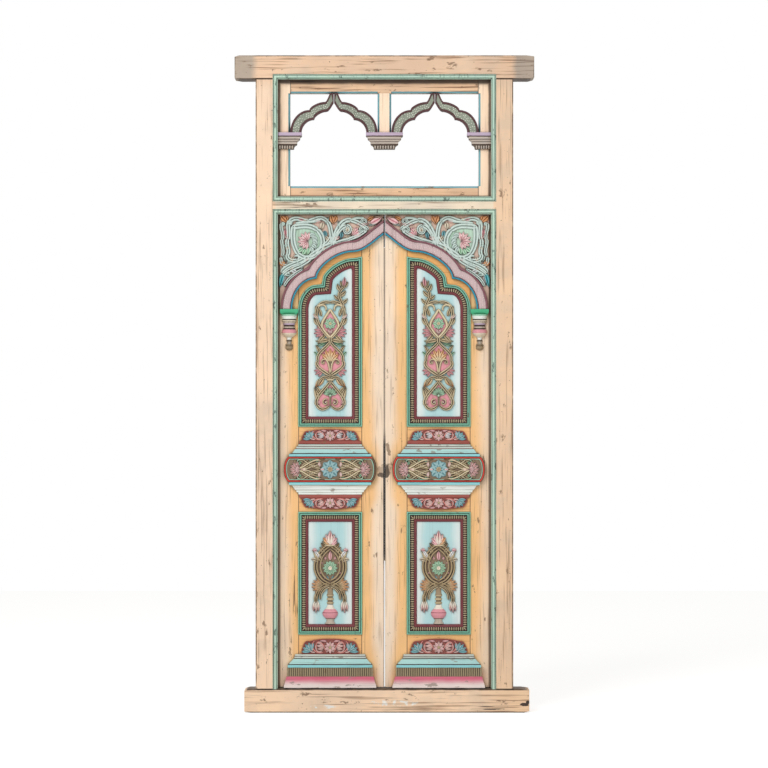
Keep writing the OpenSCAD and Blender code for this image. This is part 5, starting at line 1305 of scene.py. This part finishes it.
def cartoucheWork(work):
    front, mid, height = leaf["front"], leaf["mid"], leaf["lockMid"]
    for up in (1, -1):
        steps = [(height + up * z, inset, rise, stepPaint[up].get(paint, paint))
                 for z, inset, rise, paint in lockSteps]
        returned(work, steps, mid, cartouche["half"], front)
    # rim, inner line and sunk ground
    rim = painted(
        ("umber", (0, -0.8), (0, 20.0)), ("red", (1.4, 22.6), (3.6, 25.0), (6.2, 23.8)),
        ("umber", (7.0, 20.6)), ("lineGreen", (8.2, 21.0), (9.0, 22.6), (11.0, 22.4)),
        ("umber", (11.8, 19.0), (12.0, -0.8)))
    ribbon(work, cartoucheEdge(0), rim, front, True)
    plate(work, cartoucheEdge(11.0), front + 0.8, front - cartouche["ground"], "darkGround")
    base, rise = front - cartouche["ground"] + 0.4, 7.4

    def sprig(side, up, x, z, angle, length, width, paint, curve=0.0, section="leaf"):
        turned = up * (angle if side == -1 else 180 - angle)
        blade(work, (mid + side * x, height + up * z), turned, length, width, paint, rise, base,
              -up * side * curve, section)

    for side in (1, -1):
        end = (mid - side * 112, height)
        fan(work, end, 7, 90 + side * 24, 90 + side * 156, 41, 10.5, "palePink", rise=rise, base=base,
            section="cup")
        fan(work, end, 5, 90 + side * 45, 90 + side * 135, 22, 7, "petalPink", rise=rise + 1.5, base=base,
            section="petal")
        for up in (1, -1):
            for *points, w0, w1, paint in quarterStems:
                line = bend(*[(mid + side * x, height + up * z) for x, z in points])
                stem(work, line, w0, w1, paint, rise, base, "round")
            for row in quarterSprigs:
                sprig(side, up, *row)
        sprig(side, 1, -86, 0, 0, 26, 14, "palePink", 0, "petal")
        sprig(side, 1, -36, 0, 180, 20, 10, "petalPink", 0, "petal")
    rosette(work, (mid, height), 8, 35, 25, "slate", "brown", rise + 2.6, base)


bothLeaves(cartoucheWork, "Cartouche", "cartouche_paint", "cartouche", handmade=0.35, sharp=35)
print("cartouches carved")

# crests: red oxide ground with a swept edge, a daisy, scrolls, bell flowers and corner fans
crest = {"half": 106.0, "ground": 6.6}


def crestWork(work, z0, up, h):
    w, mid, front = crest["half"], leaf["mid"], leaf["front"]
    half = [(-w, 0), (-w, h / 3)] + lobe((-0.96 * w, 0.4 * h), (-0.8 * w, 0.86 * h), 0.5, 6) \
        + bend((-0.72 * w, 0.84 * h), (-0.5 * w, 0.96 * h), (-0.3 * w, h), (0, h), 8)
    loop = [(mid + x, z0 + up * z) for x, z in half + [(-x, z) for x, z in half[::-1]][1:]]
    if up > 0:
        loop = loop[::-1]
    rim = painted(("redBrown", (0, -0.8), (0, 7.6), (0.8, 8.8), (2.8, 9.0), (3.6, 6.6), (4.2, -0.8)))
    ribbon(work, loop, rim, front, True)
    plate(work, shifted(loop, 3.2, True), front + 0.8, front - crest["ground"], "oxide")
    base, rise = front - crest["ground"] + 0.4, 5.6
    k = h / 43.0

    bell = "dustyWhite" if up > 0 and k == 1 else "dustyPink"

    def at(x, z):
        return (mid + x, z0 + up * z * k)

    for side in (1, -1):
        def turned(a):
            return up * (a if side == 1 else 180 - a)

        def line(points, w0, w1, paint):
            stem(work, bend(*[at(side * x, z) for x, z in points]), w0, w1, paint, rise, base, "round")

        line([(-14, 6), (-34, 52), (-62, 34), (-48, 12)], 6, 4.5, "rust")
        line([(-26, 5), (-60, -2), (-78, 26), (-58, 37)], 7, 5, "rust")
        line([(-56, 6), (-70, 3), (-82, 12), (-80, 26)], 6, 5, "dustyPink")
        line([(-40, 6), (-52, 8), (-58, 18), (-52, 27)], 5, 4, "dustyPink")
        for x, z, a, length, width, paint, curve in (
                (-22, 20, 162, 28, 12, bell, 20), (-24, 21, 128, 22, 10, bell, 30),
                (-24, 17, 198, 22, 10, bell, -20), (-64, 10, 108, 20, 9, "petalPink", 30),
                (-48, 30, 30, 18, 9, "dustyPink", -30), (-46, 4, 20, 20, 7, "dustyPink", 10),
                (-14, 36, 170, 22, 7, "pink", 10)):
            blade(work, at(side * x, z), turned(a), length * sqrt(k), width, paint, rise, base,
                  up * side * curve, "petal")
        for i in range(5):
            blade(work, at(side * -70, 7), turned(80 + 25 * i), 31 * sqrt(k), 12,
                  "blue" if i % 2 == 0 else "slate", rise + 0.8, base, section="petal", widest=0.6)
    for i in range(10):
        blade(work, at(0, 19), 36 * i + 90, 20 * sqrt(k), 9.5, "petalPink" if i % 2 else "dustyPink",
              rise + 1, base, section="petal", count=6, widest=0.6)
    boss(work, at(0, 19), 5.5 * sqrt(k), rise + 2.4, "brown", base)


crests = {"UpperCrest": ("upper_crest", 1008.7, 1, 43.0), "LowerCrest": ("lower_crest", 796.3, -1, 43.0),
          "BaseCrest": ("base_crest", 214.2, 1, 57.0)}  # foot height, direction and height in mm
for name, (node, z0, up, h) in crests.items():
    bothLeaves(lambda work: crestWork(work, z0, up, h), name, "crest_paint", node, handmade=0.4)
print("crests carved")

# base: rose plinth, row of reeds, sky-blue fillet and pale steps; height, inset, rise and paint
baseHalf = 172.0
baseFoot = painted(
    ("plinth", (91.0, 0, 34.0), (98.0, 0.8, 34.0), (112.0, 5, 32.0),
     (124.0, 8, 30.0), (130.0, 10, 29.4), (133.2, 12.6, 27.6)))
baseCore = painted(("umber", (132.8, 17, 25.6), (167.0, 17, 25.6)))
baseHead = painted(
    ("sky", (166.0, 15.6, 30.0), (167.4, 14.8, 31.0)), ("umber", (176.0, 14.8, 31.0), (178.4, 17.4, 27.6)),
    ("aqua", (179.0, 19, 25.4), (182.0, 22, 23.6), (189.0, 29, 20.6), (195.0, 34, 17.6)),
    ("umber", (197.6, 36.6, 15.8)), ("pale", (199.8, 39.4, 13.4), (200.6, 39.2, 14.0)),
    ("umber", (205.6, 39.4, 13.8)), ("pale", (207.8, 41.2, 12.2), (213.8, 41.6, 12.2)))


def baseWork(work):
    for rows in (baseFoot, baseCore, baseHead):
        returned(work, rows, leaf["mid"], baseHalf, leaf["front"])


bothLeaves(baseWork, "BasePlinth", "base_paint", "base_plinth", handmade=0.5, sharp=35)
reedRow = {"count": 40, "half": 156.0, "z": (133.0, 166.4), "depth": 26.0, "radius": 3.4}  # mm
for side in ("left", "right"):
    step = 2 * reedRow["half"] / (reedRow["count"] - 1)
    low, high = reedRow["z"]
    first = ((leaf["mid"] - reedRow["half"]) * mm, (leaf["front"] - reedRow["depth"]) * mm,
             (low + high) / 2 * mm)
    values = {"Count": reedRow["count"], "First": first, "Step": (step * mm, 0.0, 0.0),
              "Radius": reedRow["radius"] * mm, "Height": (high - low) * mm, "Finish": paints["reed"]}
    rowPiece(bpy.data.meshes.new("reedCarrier"), reeds, values, side + "Reeds", side + "_leaf", "base_paint",
             flip=side == "right", sharp=40)
print("bases made")

# pendants under the springing of the arch: turned, half round against the stile;
# drop from the top, radius and paint
pendantTurn = painted(
    ("capGreen", (18.0, 31.0)), ("lineGreen", (20.5, 30.4)), ("chalk", (26.0, 28.6), (32.0, 26.8)),
    ("umber", (37.0, 26.0), (39.0, 24.4)), ("cream", (41.0, 25.0), (42.0, 27.0)),
    ("pendant", (45.0, 26.8), (46.4, 23.8)), ("capital", (53.0, 22.8)), ("umber", (59.0, 21.4), (60.4, 19.6)),
    ("pendant", (64.6, 19.6), (66.0, 22.0)), ("umber", (70.6, 22.6), (73.0, 21.6)),
    ("pink", (75.6, 22.6), (79.0, 25.6), (84.0, 27.6)), ("cream", (89.0, 27.0), (94.0, 24.6), (100.0, 19.0)),
    ("chalk", (105.0, 11.4), (108.0, 8.4)), ("capitalDark", (114.0, 8.4), (115.6, 10.6)),
    ("pendant", (120.0, 10.6), (122.0, 8.0)), ("capitalDark", (130.0, 8.0)), ("brown", (131.6, 13.6)),
    ("umber", (135.4, 14.0)),
    ("brown", (137.0, 11.4), (140.0, 14.0), (146.0, 14.2), (151.0, 10.0), (154.0, 2.0)))
# its cap: drop, inset, rise
pendantCap = [(0.0, 0.6, 22.4), (1.0, 0.0, 23.0), (12.0, 0.0, 23.0), (15.0, 1.2, 21.6), (18.4, 4.0, 18.6)]
pendant = {"middle": leaf["trimOut"] + 33.65, "top": 1498.8, "capHalf": 33.6}


def pendantWork(work):
    x, top, front = pendant["middle"], pendant["top"], leaf["front"]
    cap = [(top - drop, inset, rise, "capGreen") for drop, inset, rise in pendantCap]
    returned(work, cap, x, pendant["capHalf"], front)
    rows = []
    for drop, r, paint in pendantTurn:
        rows.append([(x + r * cos(pi * j / 18), front + 0.8 - (r + 0.8) * sin(pi * j / 18), top - drop)
                     for j in range(19)])
    weave(work, rows, lambda i, j: pendantTurn[i][2], stroke=lambda i, j: (0.0, 0.0, 0.7))


bothLeaves(pendantWork, "Pendant", "pendant_paint", "pendant", handmade=0.3, sharp=40)
print("pendants turned")

# light above: arches of two halves with stippled fields, and stepped capitals
light = {"bayMid": -188.25, "bayHalf": 162.75, "capital": 2155.5, "rise": 147.0, "band": 42.0, "front": -20.0,
         "back": 12.0, "gap": 1.0, "neck": 15.0, "dots": {"spacing": 6.6, "dot": (2.5, 1.7, 2.5)}}
# from either edge: distance, rise
lightEdgeProfile = [(0.0, -32.0), (0.0, 1.6), (1.0, 2.7), (6.4, 2.9), (7.8, 2.0), (8.2, 0.0)]


def lightLines():
    # the line of the opening and the outer line of one half arch, about the middle of the bay
    spring = light["bayHalf"] - light["band"]
    z, rise, bay = light["capital"], light["rise"], light["bayHalf"] - 0.1
    inner = cuspedLine((-spring, z), (-0.61 * spring, z + rise / 3), (-0.24 * spring, z + 0.54 * rise),
                       (-light["gap"], z + 0.76 * rise))
    outer = cuspedLine((-bay, z), (-0.56 * bay, z + 0.575 * rise), (-0.206 * bay, z + 0.78 * rise),
                       (-light["neck"], z + rise - 0.2))
    return inner + [(-light["gap"], z + rise - 0.2)], outer + [(-light["neck"], z + rise - 0.1)]


def lightHalf(work, field, bayMid, side):
    # one half arch, and the strip of its face that carries the punch marks
    count = len(lightEdgeProfile)
    rows, strip = [], []
    for (x0, z0), (x1, z1) in zip(*lightLines()):
        size = hypot(x1 - x0, z1 - z0)

        def across(d, rise):
            return (bayMid + side * (x0 + (x1 - x0) * d / size), light["front"] - rise,
                    z0 + (z1 - z0) * d / size)

        rows.append([across(d, rise) for d, rise in lightEdgeProfile]
                    + [across(size - d, rise) for d, rise in reversed(lightEdgeProfile)])
        strip.append([across(10.0, 0.2), across(size - 10.0, 0.2)])
    weave(work, rows, lambda i, j: "stipple" if j in (count - 1, 2 * count - 1) else "lightEdge")
    field.append(strip[:-7])


for bay, bayMid in (("left", light["bayMid"]), ("right", -light["bayMid"])):
    work, field = newWork(), []
    for side in (1, -1):
        lightHalf(work, field, bayMid, side)
    makePiece(work, bay + "LightArch", "frame", "light_arch_paint", [bay + "_light_arch"], handmade=0.25,
              sharp=35)
    points, faces = [], []
    for strip in field:
        first = len(points)
        points += [tuple(c * mm for c in p) for pair in strip for p in pair]
        faces += [(first + 2 * i, first + 2 * i + 1, first + 2 * i + 3, first + 2 * i + 2)
                  for i in range(len(strip) - 1)]
    face = bpy.data.meshes.new(bay + "LightField")
    face.from_pydata(points, [], faces)
    values = {"Spacing": light["dots"]["spacing"] * mm, "Dot Size": [v * mm for v in light["dots"]["dot"]],
              "Finish": paints["stippleDot"]}
    rowPiece(face, stipple, values, bay + "LightDots", "frame", "light_arch_paint", sharp=80)
print("light arches made")

# capitals of the light: drop from the top, inset, paint
capitalSteps = painted(
    ("capital", (0.0, 0.6), (1.0, 0.0)), ("umber", (12.0, 0.0), (14.6, 2.4)),
    ("capitalPale", (16.0, 5.4), (19.0, 6.4)), ("umber", (23.6, 6.8)),
    ("capitalPale", (26.4, 9.0), (31.0, 15.0)), ("umber", (33.4, 17.6)), ("capitalPale", (36.0, 17.0)),
    ("umber", (42.4, 17.4)), ("capitalDark", (45.0, 19.4), (48.0, 25.0), (51.0, 27.6), (60.8, 30.0)))
# ends in mm, and which of them step in
capitals = {"left": (-396.2, -308.0, False, True), "centre": (-69.0, 69.0, True, True),
            "right": (308.0, 396.2, True, False)}
capitalAt = {"front": -40.0, "sash": -14.6, "seat": 24.8, "stile": 351.0}  # mm
capitalTeeth = {"pitch": 9.0, "drops": (48.5, 50.0, 54.0, 58.0, 60.4), "widths": (6.4, 5.6), "rise": 4.2,
                "ground": -27.6}
for name, (x0, x1, stepLeft, stepRight) in capitals.items():
    work = newWork()
    top, seat, sash = light["capital"], capitalAt["seat"], capitalAt["sash"]
    rows = []
    for drop, inset, paint in capitalSteps:
        a = x0 + inset if stepLeft else x0
        b = x1 - inset if stepRight else x1
        y = capitalAt["front"] + inset / 2
        back = seat if name == "centre" else sash
        rows.append([(a, back, top - drop)] + [(a + (b - a) * j / 16, y, top - drop) for j in range(17)]
                    + [(b, back, top - drop)])
    weave(work, rows, lambda i, j: capitalSteps[i][2])
    if name != "centre":
        # the end that stands in the light runs back over the sash
        inner = []
        edge = capitalAt["stile"] * (-1 if name == "left" else 1)
        for drop, inset, paint in capitalSteps:
            near = x1 - inset if name == "left" else x0 + inset
            a, b = sorted((edge, near))
            inner.append([(a, seat, top - drop), (a, -15.0, top - drop), (b, -15.0, top - drop),
                          (b, seat, top - drop)])
        weave(work, inner, lambda i, j: capitalSteps[i][2])
    a, b = (x0 + 30 if stepLeft else x0 + 3), (x1 - 30 if stepRight else x1 - 3)
    count = max(4, int((b - a) / capitalTeeth["pitch"]))
    for i in range(count):
        x = a + (b - a) * (i + 0.5) / count
        stem(work, [(x, top - z) for z in capitalTeeth["drops"]], *capitalTeeth["widths"], "capitalPale",
             capitalTeeth["rise"], capitalTeeth["ground"], "round", 0.2)
    makePiece(work, name + "Capital", "frame", "capital_paint", [name + "_capital"], handmade=0.3, sharp=35)
print("capitals made")
